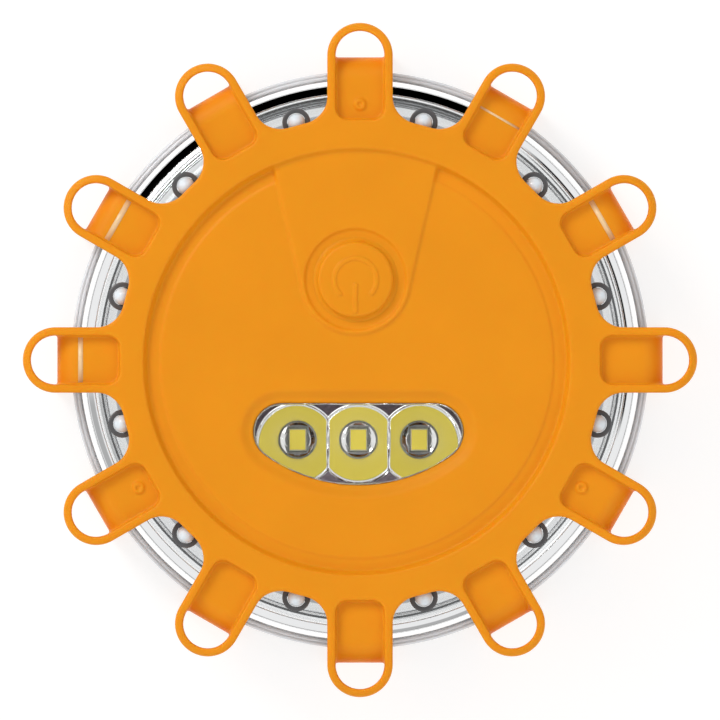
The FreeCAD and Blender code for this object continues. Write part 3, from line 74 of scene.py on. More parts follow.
cover_high = node_box("rubber_cover")[1]
arm_high = node_box("bumper_arms")[1]
cap_low, cap_high = node_box("button_cap")
rear_high = node_box("rear_shell")[1]
front_high = node_box("front_shell")[1]
button = node_middle("button_cap")
lamps = node_middle("flashlight_leds")

TOP = cover_high.z
TIP = arm_high.x
REAR_RAD = rear_high.x

# the cover's face and its edge
FACE = 30.9
VALLEY = 37.8
VALLEY_CORNER = 3.4

# the sunk circle: its middle, the slopes into the channel along its edge, and the rise to the ring.
# Each slope has its start, its width and its depth.
RECESS_X, RECESS_Y = -0.5, -0.25
CHANNEL_SLOPES = ((30.45, 0.4, 0.24), (31.2, 1.1, 0.12))
CHANNEL_DEEP = 0.36
RISE_START, RISE_WIDE = 32.45, 0.95
RING_MIDDLE = 35.5

# the button's panel, seen from the button: a round end, and flanks that run from a foot to a head at the ring
PANEL_RAD = 8.6
FOOT_X, FOOT_Y = 8.33, -1.91
HEAD_X, HEAD_Y = 12.8, 17.6
PANEL_DROP = 0.69

# the groove round the button, the height of its floor, and the cap with its hole
GROOVE_RAD = 7.85
MOAT = 30.86
CAP_RAD = 5.95
CAP_HOLE = 6.0

# the arms, their pockets and their loops: STRAP is where a pocket's floor ends and its open loop begins
ARM_HALF = 5.1
POCKET_HALF = 3.8
POCKET_IN = 37.4
POCKET_CORNER = 1.9
POCKET_FLOOR = TOP - 1.4
STRAP = 47.2
STRAP_BEND = 43.7
LOOP_X = TIP - ARM_HALF
LOOP_Z = 27.4
PIP_X = 39.8
PIP_ARMS = (90, 210, 330)

# the lamp window: a straight top, a bowed bottom, and two round corners with their middles WINDOW_CX out
WINDOW_X = lamps.x
WINDOW_TOP = -6.9
WINDOW_LOW = -19.3
WINDOW_CORNER = 4.3
WINDOW_CX = 11.9

# the front plate and the circle of its dome lenses
PLATE_TOP = 29.0
DOME_CIRCLE = 38.3

# ---------------------------------------------------------------- meshes from distance fields


def or_round(a, b, r):
    """Joins two distance fields with a rounded inside corner."""
    u = np.maximum(r - a, 0)
    v = np.maximum(r - b, 0)
    return np.maximum(r, np.minimum(a, b)) - np.hypot(u, v)


def and_round(a, b, r):
    """Keeps what two distance fields share, with a rounded outside corner."""
    u = np.maximum(r + a, 0)
    v = np.maximum(r + b, 0)
    return np.minimum(-r, np.maximum(a, b)) + np.hypot(u, v)


def soft(t):
    """A smooth step from 0 to 1."""
    t = np.clip(t, 0, 1)
    return t * t * (3 - 2 * t)


def net_surface(xs, ys, zs, field):
    """Surface nets: one point in each cell that the surface crosses, and a quad across each crossed edge."""
    shape = field.shape
    cells = tuple(n - 1 for n in shape)
    axes = (xs, ys, zs)
    total = np.zeros((cells[0] * cells[1] * cells[2], 3))
    count = np.zeros(total.shape[0])
    inside = field < 0
    edges = []
    for axis in range(3):
        low = [slice(None)] * 3
        high = [slice(None)] * 3
        low[axis] = slice(0, -1)
        high[axis] = slice(1, None)
        a_in, b_in = inside[tuple(low)], inside[tuple(high)]
        index = np.argwhere(a_in != b_in)
        others = [k for k in range(3) if k != axis]
        keep = np.ones(len(index), bool)
        for k in others:
            keep &= (index[:, k] > 0) & (index[:, k] < shape[k] - 1)
        index = index[keep]
        step = np.zeros(3, int)
        step[axis] = 1
        a = field[tuple(index.T)]
        b = field[tuple((index + step).T)]
        t = a / (a - b)
        place = np.stack([axes[k][index[:, k]] for k in range(3)], 1)
        run = axes[axis][index[:, axis] + 1] - axes[axis][index[:, axis]]
        place[:, axis] += t * run
        ids = []
        for du, dv in ((0, 0), (1, 0), (1, 1), (0, 1)):
            cell = index.copy()
            cell[:, others[0]] -= du
            cell[:, others[1]] -= dv
            flat = np.ravel_multi_index(tuple(cell.T), cells)
            ids.append(flat)
            for k in range(3):
                total[:, k] += np.bincount(flat, place[:, k], total.shape[0])
            count += np.bincount(flat, minlength=total.shape[0])
        quad = np.stack(ids, 1)
        flip = a < 0
        if axis == 1:
            flip = ~flip
        quad[flip] = quad[flip][:, ::-1]
        edges.append(quad)
    used = np.flatnonzero(count)
    number = np.full(total.shape[0], -1)
    number[used] = np.arange(len(used))
    points = total[used] / count[used, None]
    return points, number[np.concatenate(edges)]


def build(name, points, faces):
    """A smooth mesh object from points in millimetres; large end faces stay flat."""
    points = np.asarray(points, float)
    mesh = bpy.data.meshes.new(name)
    mesh.from_pydata((points * MM).tolist(), [], [list(map(int, f)) for f in faces])
    mesh.validate()
    mesh.update()
    for face in mesh.polygons:
        face.use_smooth = len(face.vertices) < 9
    made = bpy.data.objects.new(name, mesh)
    bpy.context.scene.collection.objects.link(made)
    return made


def apply_modifiers(piece):
    """Bakes a piece's modifiers into its mesh."""
    bpy.context.view_layer.update()
    graph = bpy.context.evaluated_depsgraph_get()
    mesh = bpy.data.meshes.new_from_object(piece.evaluated_get(graph))
    piece.modifiers.clear()
    piece.data = mesh
    return piece


def thin_out(piece, ratio):
    """Fewer triangles where the surface is flat."""
    made = piece.modifiers.new("thin", "DECIMATE")
    made.ratio = ratio
    apply_modifiers(piece)
    piece.data.shade_smooth()
    return piece


def window_distance(x, y):
    """Distance from the lamp window's outline, negative inside."""
    drop = -(WINDOW_LOW - WINDOW_TOP) - WINDOW_CORNER
    big = (WINDOW_CX**2 + drop**2 - WINDOW_CORNER**2) / (2 * (drop - WINDOW_CORNER))
    centre = WINDOW_LOW + big
    line = WINDOW_TOP - WINDOW_CORNER
    px = np.abs(x - WINDOW_X)
    reach = np.hypot(px, y - centre)
    to_line = y - line
    to_arc = reach - (big - WINDOW_CORNER)
    inner = np.maximum(to_line, to_arc)
    arc_y = centre + (y - centre) * (big - WINDOW_CORNER) / np.maximum(reach, 1e-6)
    at_line = (px <= WINDOW_CX) & (to_line >= 0)
    at_arc = (arc_y <= line) & (to_arc >= 0) & ~at_line
    corner = np.hypot(px - WINDOW_CX, y - line)
    outer = np.where(at_line, to_line, np.where(at_arc, to_arc, corner))
    return np.where((to_line < 0) & (to_arc < 0), inner, outer) - WINDOW_CORNER


# ---------------------------------------------------------------- the orange cover


def box_distance(across, along, radius):
    """Distance from a rounded corner, where two distances meet at right angles."""
    outside = np.hypot(np.maximum(across, 0), np.maximum(along, 0))
    return outside + np.minimum(np.maximum(across, along), 0) - radius


def cover_height(x, y, r, xa, rb, window):
    """Height of the cover's top: its face, its ring, the button's panel and groove, and the falling loops."""
    tip_run, tip_drop = 5.0, 1.4
    fall = np.clip(xa - (TIP - tip_run), 0, tip_run + 1)
    fall_rad = (tip_run**2 + tip_drop**2) / (2 * tip_drop)
    top = TOP - (fall_rad - np.sqrt(fall_rad**2 - fall**2))

    rf = np.hypot(x - RECESS_X, y - RECESS_Y)
    rise = soft((rf - RISE_START) / RISE_WIDE)
    face = FACE
    for start, wide, deep in CHANNEL_SLOPES:
        face = face - deep * soft((rf - start) / wide)
    face = face + (TOP - FACE + CHANNEL_DEEP) * rise

    flank_wide, groove_wide = 0.7, 0.6
    bx, by = x - button.x, y - button.y
    run = Vector((HEAD_X - FOOT_X, HEAD_Y - FOOT_Y)).normalized()
    flank = (np.abs(bx) - FOOT_X) * run.y - (by - FOOT_Y) * run.x
    panel = np.minimum(rb - PANEL_RAD, np.maximum(flank, FOOT_Y - by))
    panel_top = TOP - PANEL_DROP * (1 - rise)
    face = face + (panel_top - face) * soft(0.5 - panel / flank_wide)

    bevel_out, bevel_wide, bevel_deep = 2.5, 2.0, 0.8
    face = face - bevel_deep * soft((bevel_out - window) / bevel_wide)
    height = np.where(r < RING_MIDDLE, face, top)
    return height - (height - MOAT) * soft(0.5 - (rb - GROOVE_RAD) / groove_wide)


def pocket_floor(xa, ya, arm):
    """Height and steepness of the pockets' floor. It turns down at its outer end, and three have a pip."""
    bend = STRAP - STRAP_BEND
    past = np.clip(xa - STRAP_BEND, 0, bend)
    floor = POCKET_FLOOR - (bend - np.sqrt(np.maximum(bend**2 - past**2, 0)))
    arm_degrees = np.round(np.degrees(arm * STEP)).astype(int) % 360
    from_pip = np.hypot(xa - PIP_X, ya)
    pip = 0.42 * soft((1.15 - from_pip) / 0.45) - 0.3 * soft((0.55 - from_pip) / 0.3)
    floor = floor + np.where(np.isin(arm_degrees, PIP_ARMS), pip, 0)
    slope = past / np.sqrt(np.maximum(bend**2 - past**2, 0.05))
    return floor, np.sqrt(1 + np.clip(slope, 0, 4) ** 2)


def make_cover():
    """The whole rubber cover with its twelve arms, as one distance field.

    xa and ya are measured along and across the nearest arm, and xd and yd along and across the nearest gap.
    The last value of each and_round or or_round is the radius of that edge.
    """
    fine = 0.25
    xs = np.arange(-53.5, 53.51, fine)
    low_zs, side_zs = np.arange(-0.6, 2.6, 0.25), np.arange(2.8, 23.5, 0.9)
    bend_zs, face_zs = np.arange(23.6, 28.6, 0.3), np.arange(28.7, 33, 0.16)
    zs = np.concatenate([low_zs, side_zs, bend_zs, face_zs])
    x, y = np.meshgrid(xs, xs, indexing="ij")
    r = np.hypot(x, y)
    turn = np.arctan2(y, x)
    arm = np.round(turn / STEP)
    xa = r * np.cos(turn - arm * STEP)
    ya = r * np.sin(turn - arm * STEP)
    gap = (np.floor(turn / STEP) + 0.5) * STEP
    xd = r * np.cos(turn - gap)
    yd = r * np.sin(turn - gap)
    rb = np.hypot(x - button.x, y - button.y)
    window = window_distance(x, y)

    from_loop = np.hypot(np.maximum(xa - LOOP_X, 0), ya)
    plan = or_round(r - VALLEY, from_loop - ARM_HALF, VALLEY_CORNER)
    eye = from_loop - POCKET_HALF
    eye_cut = and_round(eye, STRAP - xa, 0.25)
    corner_x = POCKET_IN + POCKET_CORNER - xa
    corner_y = np.abs(ya) - (POCKET_HALF - POCKET_CORNER)
    pocket = np.maximum(box_distance(corner_x, corner_y, POCKET_CORNER), eye)
    floor, floor_slope = pocket_floor(xa, ya, arm)
    height = cover_height(x, y, r, xa, rb, window)
    slope_x, slope_y = np.gradient(height, fine)
    steep = np.sqrt(1 + np.clip(slope_x**2 + slope_y**2, 0, 6))

    room_rad, room_edge = REAR_RAD + 0.15, 1.75
    room_middle, room_half = 15.4, 13.6
    lip_in, lip_top = 41.5, 15
    openings_low = 24
    window_gap = 0.15
    hollow_rad, hollow_top = 7.8, 29.9
    dome_rad, dome_z = 2.45, 28.35

    field = np.empty((len(xs), len(xs), len(zs)), np.float32)
    for k, z in enumerate(zs):
        body = and_round(plan, (z - height) / steep, 0.5)
        body = and_round(body, -and_round(pocket, (floor - z) / floor_slope, 0.45), 0.3)
        body = and_round(body, -eye_cut, 0.3)
        room_side = r - (room_rad - room_edge)
        room_end = abs(z - room_middle) - (room_half - room_edge)
        room = box_distance(room_side, room_end, room_edge)
        body = and_round(body, -room, 0.2)
        out = or_round(xa - (STRAP + 1), LOOP_Z - z + 0 * xa, 3.0)
        body = and_round(body, out, 0.5)
        body = and_round(body, -z + 0 * xa, 0.5)
        if z < lip_top:
            body = and_round(body, lip_in - xa, 0.4)
        if z > openings_low:
            body = and_round(body, window_gap - window, 0.25)
            body = and_round(body, CAP_HOLE - rb, 0.25)
            if z < hollow_top + 0.05:
                body = and_round(body, -np.maximum(rb - hollow_rad, z - hollow_top), 0.15)
            dome = np.sqrt((xd - DOME_CIRCLE) ** 2 + yd**2 + (z - dome_z) ** 2) - dome_rad
            body = and_round(body, -dome, 0.15)
        field[:, :, k] = body
    points, faces = net_surface(xs, xs, zs, field)
    return thin_out(build("cover", points, faces), 0.42)


def make_button():
    """The button's cap, with a raised power symbol: a ring open at the bottom, and a bar in the opening."""
    fine = 0.1
    icon_rad, icon_half, icon_edge, icon_rise = 3.3, 0.33, 0.34, 0.2
    opening = 48
    bar_low, bar_high = -4.9, -0.9
    crown_drop, crown_rise, crown_rad = 0.27, 0.12, 5.85
    xs = np.arange(-6.4, 6.41, fine)
    zs = np.arange(cap_low.z - 0.3, cap_high.z + 0.35, fine)
    x, y = np.meshgrid(xs, xs, indexing="ij")
    r = np.hypot(x, y)
    turn = np.degrees(np.arctan2(x, -y))
    end_x = icon_rad * math.sin(math.radians(opening))
    end_y = -icon_rad * math.cos(math.radians(opening))
    ends = np.hypot(np.abs(x) - end_x, y - end_y)
    ring = np.where(np.abs(turn) > opening, np.abs(r - icon_rad), ends) - icon_half
    bar = np.hypot(x, y - np.clip(y, bar_low, bar_high)) - icon_half
    icon = np.minimum(ring, bar)
    crown = cap_high.z - crown_drop + crown_rise * (1 - (r / crown_rad) ** 2)
    height = crown + icon_rise * soft(0.5 - icon / icon_edge)
    slope_x, slope_y = np.gradient(height, fine)
    steep = np.sqrt(1 + slope_x**2 + slope_y**2)
    field = np.empty((len(xs), len(xs), len(zs)), np.float32)
    for k, z in enumerate(zs):
        body = and_round(r - CAP_RAD, (z - height) / steep, 0.6)
        field[:, :, k] = and_round(body, cap_low.z - z + 0 * x, 0.3)
    points, faces = net_surface(xs, xs, zs, field)
    points = points + np.array([button.x, button.y, 0])
    return thin_out(build("button", points, faces), 0.5)


# ---------------------------------------------------------------- turned pieces


def rounded_section(corners, radius):
    """A closed section with each corner eased by a small arc."""
    out = []
    for i, corner in enumerate(corners):
        here = Vector(corner)
        before = Vector(corners[i - 1]) - here
        after = Vector(corners[(i + 1) % len(corners)]) - here
        cut = min(radius, before.length * 0.45, after.length * 0.45)
        a, b = here + before.normalized() * cut, here + after.normalized() * cut
        if before.length > 0.3:
            out.append(tuple(a + before.normalized() * 0.03))
        for t in (0, 0.25, 0.5, 0.75, 1):
            out.append(tuple((1 - t) ** 2 * a + 2 * t * (1 - t) * here + t * t * b))
        if after.length > 0.3:
            out.append(tuple(b + after.normalized() * 0.03))
    return out


def lathe(name, section, turns=360, reshape=None):
    """Turns a closed section round Z; reshape may move the points."""
    angles = np.arange(turns) * TAU / turns if np.isscalar(turns) else np.asarray(turns)
    section = np.array(section)
    n, m = len(section), len(angles)
    r = np.repeat(section[:, 0][:, None], m, 1)
    z = np.repeat(section[:, 1][:, None], m, 1)
    a = np.repeat(angles[None, :], n, 0)
    if reshape:
        r, z = reshape(r, z, a)
    points = np.stack([r * np.cos(a), r * np.sin(a), z], 2).reshape(-1, 3)
    i, j = np.meshgrid(np.arange(n), np.arange(m), indexing="ij")
    i2, j2 = (i + 1) % n, (j + 1) % m
    faces = np.stack([i * m + j, i * m + j2, i2 * m + j2, i2 * m + j], 2).reshape(-1, 4)
    return build(name, points, faces)


def make_button_web():
    """The thin skin that joins the button to the groove round it."""
    inner, outer = 5.85, 7.2
    low, high = MOAT - 0.13, cap_high.z - 0.85
    curve = []
    for i in range(13):
        t = i / 12
        curve.append((inner + (outer - inner) * t, low + (high - low) * (1 - t) ** 2.2))
    section = [(5.6, low - 0.2), (5.6, high - 0.1), (5.8, high)] + curve + [(7.22, low - 0.2)]
    return lathe("button_web", section[::-1], 120)


# ---------------------------------------------------------------- the clear housing


def make_front_shell():
    """The clear front half: plate, stepped shoulder, and a grooved wall with a notch before each side LED.

    Extra points beside the corners keep the flats and the straight wall smooth.
    """
    wall = front_high.x
    thin, thick = wall - 1.3, wall - 1.8
    groove = wall - 1.15
    plate_in, plate_low = 21.4, 27.0
    notch_low, notch_high, notch_deep = 17.3, 24.95, 0.8
    notch_half, notch_ease = 5.3, 0.22

    section = [(plate_in, 27.1), (plate_in, 28.9), (21.5, PLATE_TOP), (39.85, PLATE_TOP)]
    section += [(40.08, 28.95), (40.16, 28.78), (40.4, 28.68)]
    section += [(41.5, 28.36), (41.56, 28.3), (41.58, 28.06), (41.7, 27.95)]
    section += [(42.8, 27.15), (42.9, 27.1), (43.02, 27.0), (43.4, 26.4), (43.5, 26.15), (43.66, 25.6)]
    section += [(wall, 25.3)]
    section += [(wall, z) for z in (notch_high, 24.8, 24.6, 21.0, 18.0, 17.6, 17.4, 17.0, 12.0, 11.0, 10.75)]
    section += [(groove, 10.7), (groove, 9.3)]
    section += [(wall, 9.25), (wall, 6.0), (wall, 4.4), (wall - 0.1, 4.3), (wall - 1.7, 4.3)]
    section += [(thick, z) for z in (4.4, 9.0, 11.0, 16.4)] + [(thin, z) for z in (17.0, 22.0, 25.5)]
    section += [(wall - 1.36, 25.8), (wall - 1.45, 26.05), (wall - 2.2, 26.62), (wall - 2.45, 26.76)]
    section += [(40.5, 26.97), (40.2, plate_low), (30.0, plate_low), (21.5, plate_low)]

    turns = set(np.round(np.arange(0, 360, 1.0), 3))
    for k in range(ARMS):
        middle = 360 / ARMS * (k + 0.5)
        for side in (-1, 1):
            for ease_step in (-1, -0.4, 0.4, 1):
                turns.add(round(middle + side * notch_half + ease_step * notch_ease, 3) % 360)
    turns = np.radians(sorted(turns))
    edge, ease = math.radians(notch_half), math.radians(notch_ease)

    def notch(r, z, a):
        """Moves the wall's outside in where an LED looks through it."""
        off = np.abs((a % STEP) - STEP / 2)
        across = soft((edge + ease - off) / (2 * ease))
        along = soft((z - notch_low) / 0.4) * soft((notch_high - z) / 0.3)
        return r - notch_deep * across * along * (r > wall - 0.3), z

    return lathe("front_clear", section, turns, notch)


def round_each_dome(radius, z, around):
    """For each of the twelve dome lenses, halfway between two arms, a level circle of points."""
    circles = []
    for k in range(ARMS):
        a = STEP * (k + 0.5)
        cx, cy = DOME_CIRCLE * math.cos(a), DOME_CIRCLE * math.sin(a)
        turns = [TAU * j / around for j in range(around)]
        circles.append([(cx + radius * math.cos(b), cy + radius * math.sin(b), z) for b in turns])
    return circles


def make_domes():
    """Twelve small dome lenses on the rim of the front plate, each a closed cap."""
    rings, around, radius, stretch = 16, 40, 1.38, 1.15
    levels = []
    for i in range(rings + 1):
        tilt = math.radians(88 - 82 * i / rings)
        z = PLATE_TOP - 0.08 + stretch * radius * math.sin(tilt)
        levels.append(round_each_dome(radius * math.cos(tilt), z, around))
    points, faces = [], []
    for k in range(ARMS):
        start = len(points)
        for level in levels:
            points += level[k]
        for i in range(rings):
            for j in range(around):
                low, j2 = start + i * around, (j + 1) % around
                faces.append((low + j, low + around + j, low + around + j2, low + j2))
        faces.append([start + rings * around + j for j in reversed(range(around))])
        faces.append([start + j for j in range(around)])
    return build("dome_lenses", points, faces)


def make_collars():
    """A dark rounded collar round each dome lens."""
    sides, around = 10, 48
    radius, half_wide, half_tall = 1.83, 0.37, 0.13
    levels = []
    for i in range(sides):
        turn = TAU * i / sides
        z = PLATE_TOP + 0.14 + half_tall * math.sin(turn)
        levels.append(round_each_dome(radius + half_wide * math.cos(turn), z, around))
    points, faces = [], []
    for k in range(ARMS):
        start = len(points)
        for level in levels:
            points += level[k]
        for i in range(sides):
            for j in range(around):
                low, high, j2 = start + i * around, start + (i + 1) % sides * around, (j + 1) % around
                faces.append((low + j, low + j2, high + j2, high + j))
    return build("collars", points, faces)


def window_outline(grow, count=160):
    """Points round the lamp window, grown by a margin, found by walking the distance field."""
    out = []
    cy = (WINDOW_TOP + WINDOW_LOW) / 2
    for i in range(count):
        a = TAU * i / count
        d = np.array([math.cos(a), math.sin(a)])
        low, high = 0.0, 30.0
        for _ in range(40):
            mid = (low + high) / 2
            inside = window_distance(np.array(WINDOW_X + d[0] * mid), np.array(cy + d[1] * mid)) < grow
            low, high = (mid, high) if inside else (low, mid)
        out.append((WINDOW_X + d[0] * low, cy + d[1] * low))
    return out


def stack(name, levels, count=160):
    """A solid from window outlines: each level is (grow, z). The first and last are closed flat."""
    points = []
    for grow, z in levels:
        points += [(x, y, z) for x, y in window_outline(grow, count)]
    faces = []
    for i in range(len(levels) - 1):
        for j in range(count):
            j2 = (j + 1) % count
            faces.append((i * count + j, i * count + j2, (i + 1) * count + j2, (i + 1) * count + j))
    faces.append(tuple(reversed(range(count))))
    faces.append(tuple((len(levels) - 1) * count + j for j in range(count)))
    return build(name, points, faces)


def make_lamp_window():
    """The clear lamp window: a flange under the cover, and a raised pane with an eased edge."""
    top = 30.3
    levels = [(1.2, 27.1), (1.3, 27.2), (1.3, 28.8), (1.2, 28.9)]
    levels += [(0.06, 28.9), (0.08, PLATE_TOP), (0.08, top - 0.2), (0.04, top - 0.07)]
    levels += [(grow, top) for grow in (-0.06, -0.1, -0.2, -3.0)]
    return stack("lamp_window", levels)


# ---------------------------------------------------------------- the triple reflector


LAMP_PITCH = 9.5
LAMP_Y = lamps.y
LAMP_XS = [WINDOW_X + i * LAMP_PITCH for i in (-1, 0, 1)]
FOCUS_Z = node_box("led_phosphors")[1].z
FOCUS = 1.5
WELL_RAD = 2.95


def cup_height(rho):
    """Height of a dish at a distance from its LED: a mirror with its focus on the LED, round a small well."""
    well_rads = [0, 1.95, 2.02, 2.78, 2.86, WELL_RAD]
    well = np.interp(rho, well_rads, [19.88, 19.88, 19.9, 20.26, 20.45, 20.6])
    return np.where(rho < WELL_RAD, well, FOCUS_Z - FOCUS + rho**2 / (4 * FOCUS))


def soft_min(a, b, k):
    """The lower of two heights, blended where they are closer than k."""
    h = np.maximum(k - np.abs(a - b), 0) / k
    return np.minimum(a, b) - h * h * k / 4


def relief(name, xs, ys, top, under, used):
    """A solid between two height fields, over the cells that are used, and the number of its upper faces."""
    nx, ny = len(xs), len(ys)
    x, y = np.meshgrid(xs, ys, indexing="ij")
    points = np.concatenate([
        np.stack([x, y, top], 2).reshape(-1, 3), np.stack([x, y, under], 2).reshape(-1, 3)
    ])
    i, j = np.nonzero(used)

    def at(di, dj, low, mask=slice(None)):
        """Numbers of the used cells' corners, in the upper field or the lower one."""
        return (i[mask] + di) * ny + (j[mask] + dj) + low * nx * ny

    upper = np.stack([at(0, 0, 0), at(1, 0, 0), at(1, 1, 0), at(0, 1, 0)], 1)
    lower = np.stack([at(0, 1, 1), at(1, 1, 1), at(1, 0, 1), at(0, 0, 1)], 1)
    padded = np.pad(used, 1)
    walls = []
    for step, first, second in (((-1, 0), (0, 0), (0, 1)), ((1, 0), (1, 1), (1, 0)),
                                ((0, -1), (1, 0), (0, 0)), ((0, 1), (0, 1), (1, 1))):
        edge = ~padded[i + 1 + step[0], j + 1 + step[1]]
        walls.append(np.stack([
            at(*first, 0, edge), at(*second, 0, edge), at(*second, 1, edge), at(*first, 1, edge)
        ], 1))
    faces = np.concatenate([upper, lower] + walls)
    kept, faces = np.unique(faces, return_inverse=True)
    return build(name, points[kept], faces.reshape(-1, 4)), len(upper)


def make_lamp_reflector():
    """One plated tray: three dishes that meet at soft ridges, and the land between them and the window.

    Also gives 1 for each face of the land and 0 for the others.
    """
    land = float(cup_height(6.0))
    land_tilt, land_fall = 0.2, 0.04
    pack_x, pack_y = 1.48, 1.83
    half_wide, down, up = 17.6, 8.9, 7.0
    cell, ridge, thick, lowest, margin = 0.09, 0.8, 0.6, 19.82, 0.75
    level_slack = 0.02

    def lines(low, high, stops):
        """Evenly spaced grid lines that also pass through each stop."""
        marks = [low, *stops, high]
        runs = [np.linspace(a, b, round((b - a) / cell), endpoint=False) for a, b in zip(marks, marks[1:])]
        return np.append(np.concatenate(runs), high)

    pack_sides = [cx + side * pack_x for cx in LAMP_XS for side in (-1, 1)]
    xs = lines(WINDOW_X - half_wide, WINDOW_X + half_wide, pack_sides)
    ys = lines(LAMP_Y - down, LAMP_Y + up, [LAMP_Y - pack_y, LAMP_Y + pack_y])
    x, y = np.meshgrid(xs, ys, indexing="ij")
    flat_top = land - land_tilt * (y - LAMP_Y) + land_fall * np.abs(x - WINDOW_X)
    top = flat_top
    for cx in LAMP_XS:
        top = soft_min(top, cup_height(np.hypot(x - cx, y - LAMP_Y)), ridge)
    under = np.maximum(top - thick, lowest)
    mid_x, mid_y = np.meshgrid((xs[1:] + xs[:-1]) / 2, (ys[1:] + ys[:-1]) / 2, indexing="ij")
    used = window_distance(mid_x, mid_y) < margin
    for cx in LAMP_XS:
        used &= ~((np.abs(mid_x - cx) < pack_x) & (np.abs(mid_y - LAMP_Y) < pack_y))
    piece, count = relief("lamp_mirror", xs, ys, top, under, used)
    flat = np.zeros(len(piece.data.polygons), int)
    flat[:count] = (top[:-1, :-1] > flat_top[:-1, :-1] - level_slack)[used].astype(int)
    return piece, flat


def make_bezel():
    """The bright ring over the side LEDs, with a fine groove and slopes that catch the light."""
    section = rounded_section([
        (32.2, 26.35), (37.6, 26.35), (39.9, 25.97), (41.0, 25.65), (41.8, 25.0), (42.1, 25.0), (42.1, 25.45),
        (41.2, 26.1), (40.38, 26.33), (40.17, 25.98), (39.97, 26.42), (37.6, 26.8), (32.2, 26.8)
    ], 0.03)
    return lathe("bright_ring", section, 360)


def make_trim():
    """A thin bright ring on the shoulder of the front half. Its crown gets steeper on its way out."""
    section = [(41.6, 28.08), (42.78, 27.22), (42.88, 27.3)]
    crown = [(41.64, 28.37)]
    tilt_in, tilt_out = 31, 43
    runs = [0.02] + [0.15] * 8 + [0.02]
    for i, run in enumerate(runs):
        r, z = crown[-1]
        tilt = tilt_in + (tilt_out - tilt_in) * i / (len(runs) - 1)
        crown.append((r + run, z - run * math.tan(math.radians(tilt))))
    return lathe("trim_ring", section + crown[::-1] + [(41.6, 28.34)], 360)


def make_rim():
    """The clear rim of the rear half: an upright band with two fine ribs on its top edge, and its foot.

    Also gives 1 for each face of the satin top edge and 0 for the others.
    """
    inside = REAR_RAD - 1.3
    edge_low = 16.6
    section = rounded_section([
        (40.65, 2.0), (REAR_RAD - 0.4, 2.0), (REAR_RAD, 2.4), (REAR_RAD, 16.7), (REAR_RAD - 0.25, 17.0),
        (REAR_RAD - 0.45, 17.0), (REAR_RAD - 0.6, 16.86), (REAR_RAD - 0.75, 17.0), (REAR_RAD - 1.0, 17.0),
        (inside, 16.75), (inside, 4.0), (40.65, 4.0)
    ], 0.12)
    piece = lathe("clear_rim", section, 300)
    edge = [int(face.center.z > edge_low * MM) for face in piece.data.polygons]
    return piece, edge


def make_painted_glints():
    """Four pale strips across the pockets, above the housing's rim: painted highlights standing for the light
    caught where the pockets' floor bends down.
    """
    points, faces = [], []
    middle = 43.5
    width_at = {30: 0.8, 60: 0.35, 150: 0.85, 180: 0.75}
    for degrees, wide in width_at.items():
        a = math.radians(degrees)
        start = len(points)
        for z in (POCKET_FLOOR - 0.04, POCKET_FLOOR + 0.03):
            for along, across in ((-1, -1), (1, -1), (1, 1), (-1, 1)):
                u = middle + along * wide / 2
                v = across * (POCKET_HALF - 0.25)
                points.append((u * math.cos(a) - v * math.sin(a), u * math.sin(a) + v * math.cos(a), z))
        faces += [(start + 3, start + 2, start + 1, start), (start + 4, start + 5, start + 6, start + 7)]
        for k in range(4):
            k2 = (k + 1) % 4
            faces.append((start + k, start + k2, start + 4 + k2, start + 4 + k))
    return build("pocket_painted_glints", points, faces)


# ---------------------------------------------------------------- materials


def new_material(name):
    """A new material, with its node tree and its shader."""
    made = bpy.data.materials.new(name)
    made.use_nodes = True
    tree = made.node_tree
    shader = tree.nodes["Principled BSDF"]
    return made, tree, shader


def noise(tree, scale, detail=4.0, stretch=(1, 1, 1)):
    """A noise texture in object space; scale is per metre."""
    place = tree.nodes.new("ShaderNodeTexCoord")
    scaled = tree.nodes.new("ShaderNodeMapping")
    scaled.inputs["Scale"].default_value = stretch
    made = tree.nodes.new("ShaderNodeTexNoise")
    made.inputs["Scale"].default_value = scale
    made.inputs["Detail"].default_value = detail
    tree.links.new(place.outputs["Object"], scaled.inputs["Vector"])
    tree.links.new(scaled.outputs["Vector"], made.inputs["Vector"])
    return made.outputs["Fac"]


def ramp(tree, fac, stops):
    """A colour from a factor; each stop is a place and a colour."""
    made = tree.nodes.new("ShaderNodeValToRGB")
    bar = made.color_ramp
    while len(bar.elements) < len(stops):
        bar.elements.new(0.5)
    for element, (place, color) in zip(bar.elements, stops):
        element.position = place
        element.color = (*color, 1)
    tree.links.new(fac, made.inputs["Fac"])
    return made.outputs["Color"]


def spread(tree, fac, low, high):
    """Stretches the middle of a noise over a range."""
    made = tree.nodes.new("ShaderNodeMapRange")
    made.inputs["From Min"].default_value = 0.3
    made.inputs["From Max"].default_value = 0.7
    made.inputs["To Min"].default_value = low
    made.inputs["To Max"].default_value = high
    tree.links.new(fac, made.inputs["Value"])
    return made.outputs["Result"]


def bump(tree, shader, fac, strength, distance):
    """Small hills on the surface; the distance is in metres."""
    made = tree.nodes.new("ShaderNodeBump")
    made.inputs["Strength"].default_value = strength
    made.inputs["Distance"].default_value = distance
    tree.links.new(fac, made.inputs["Height"])
    tree.links.new(made.outputs["Normal"], shader.inputs["Normal"])


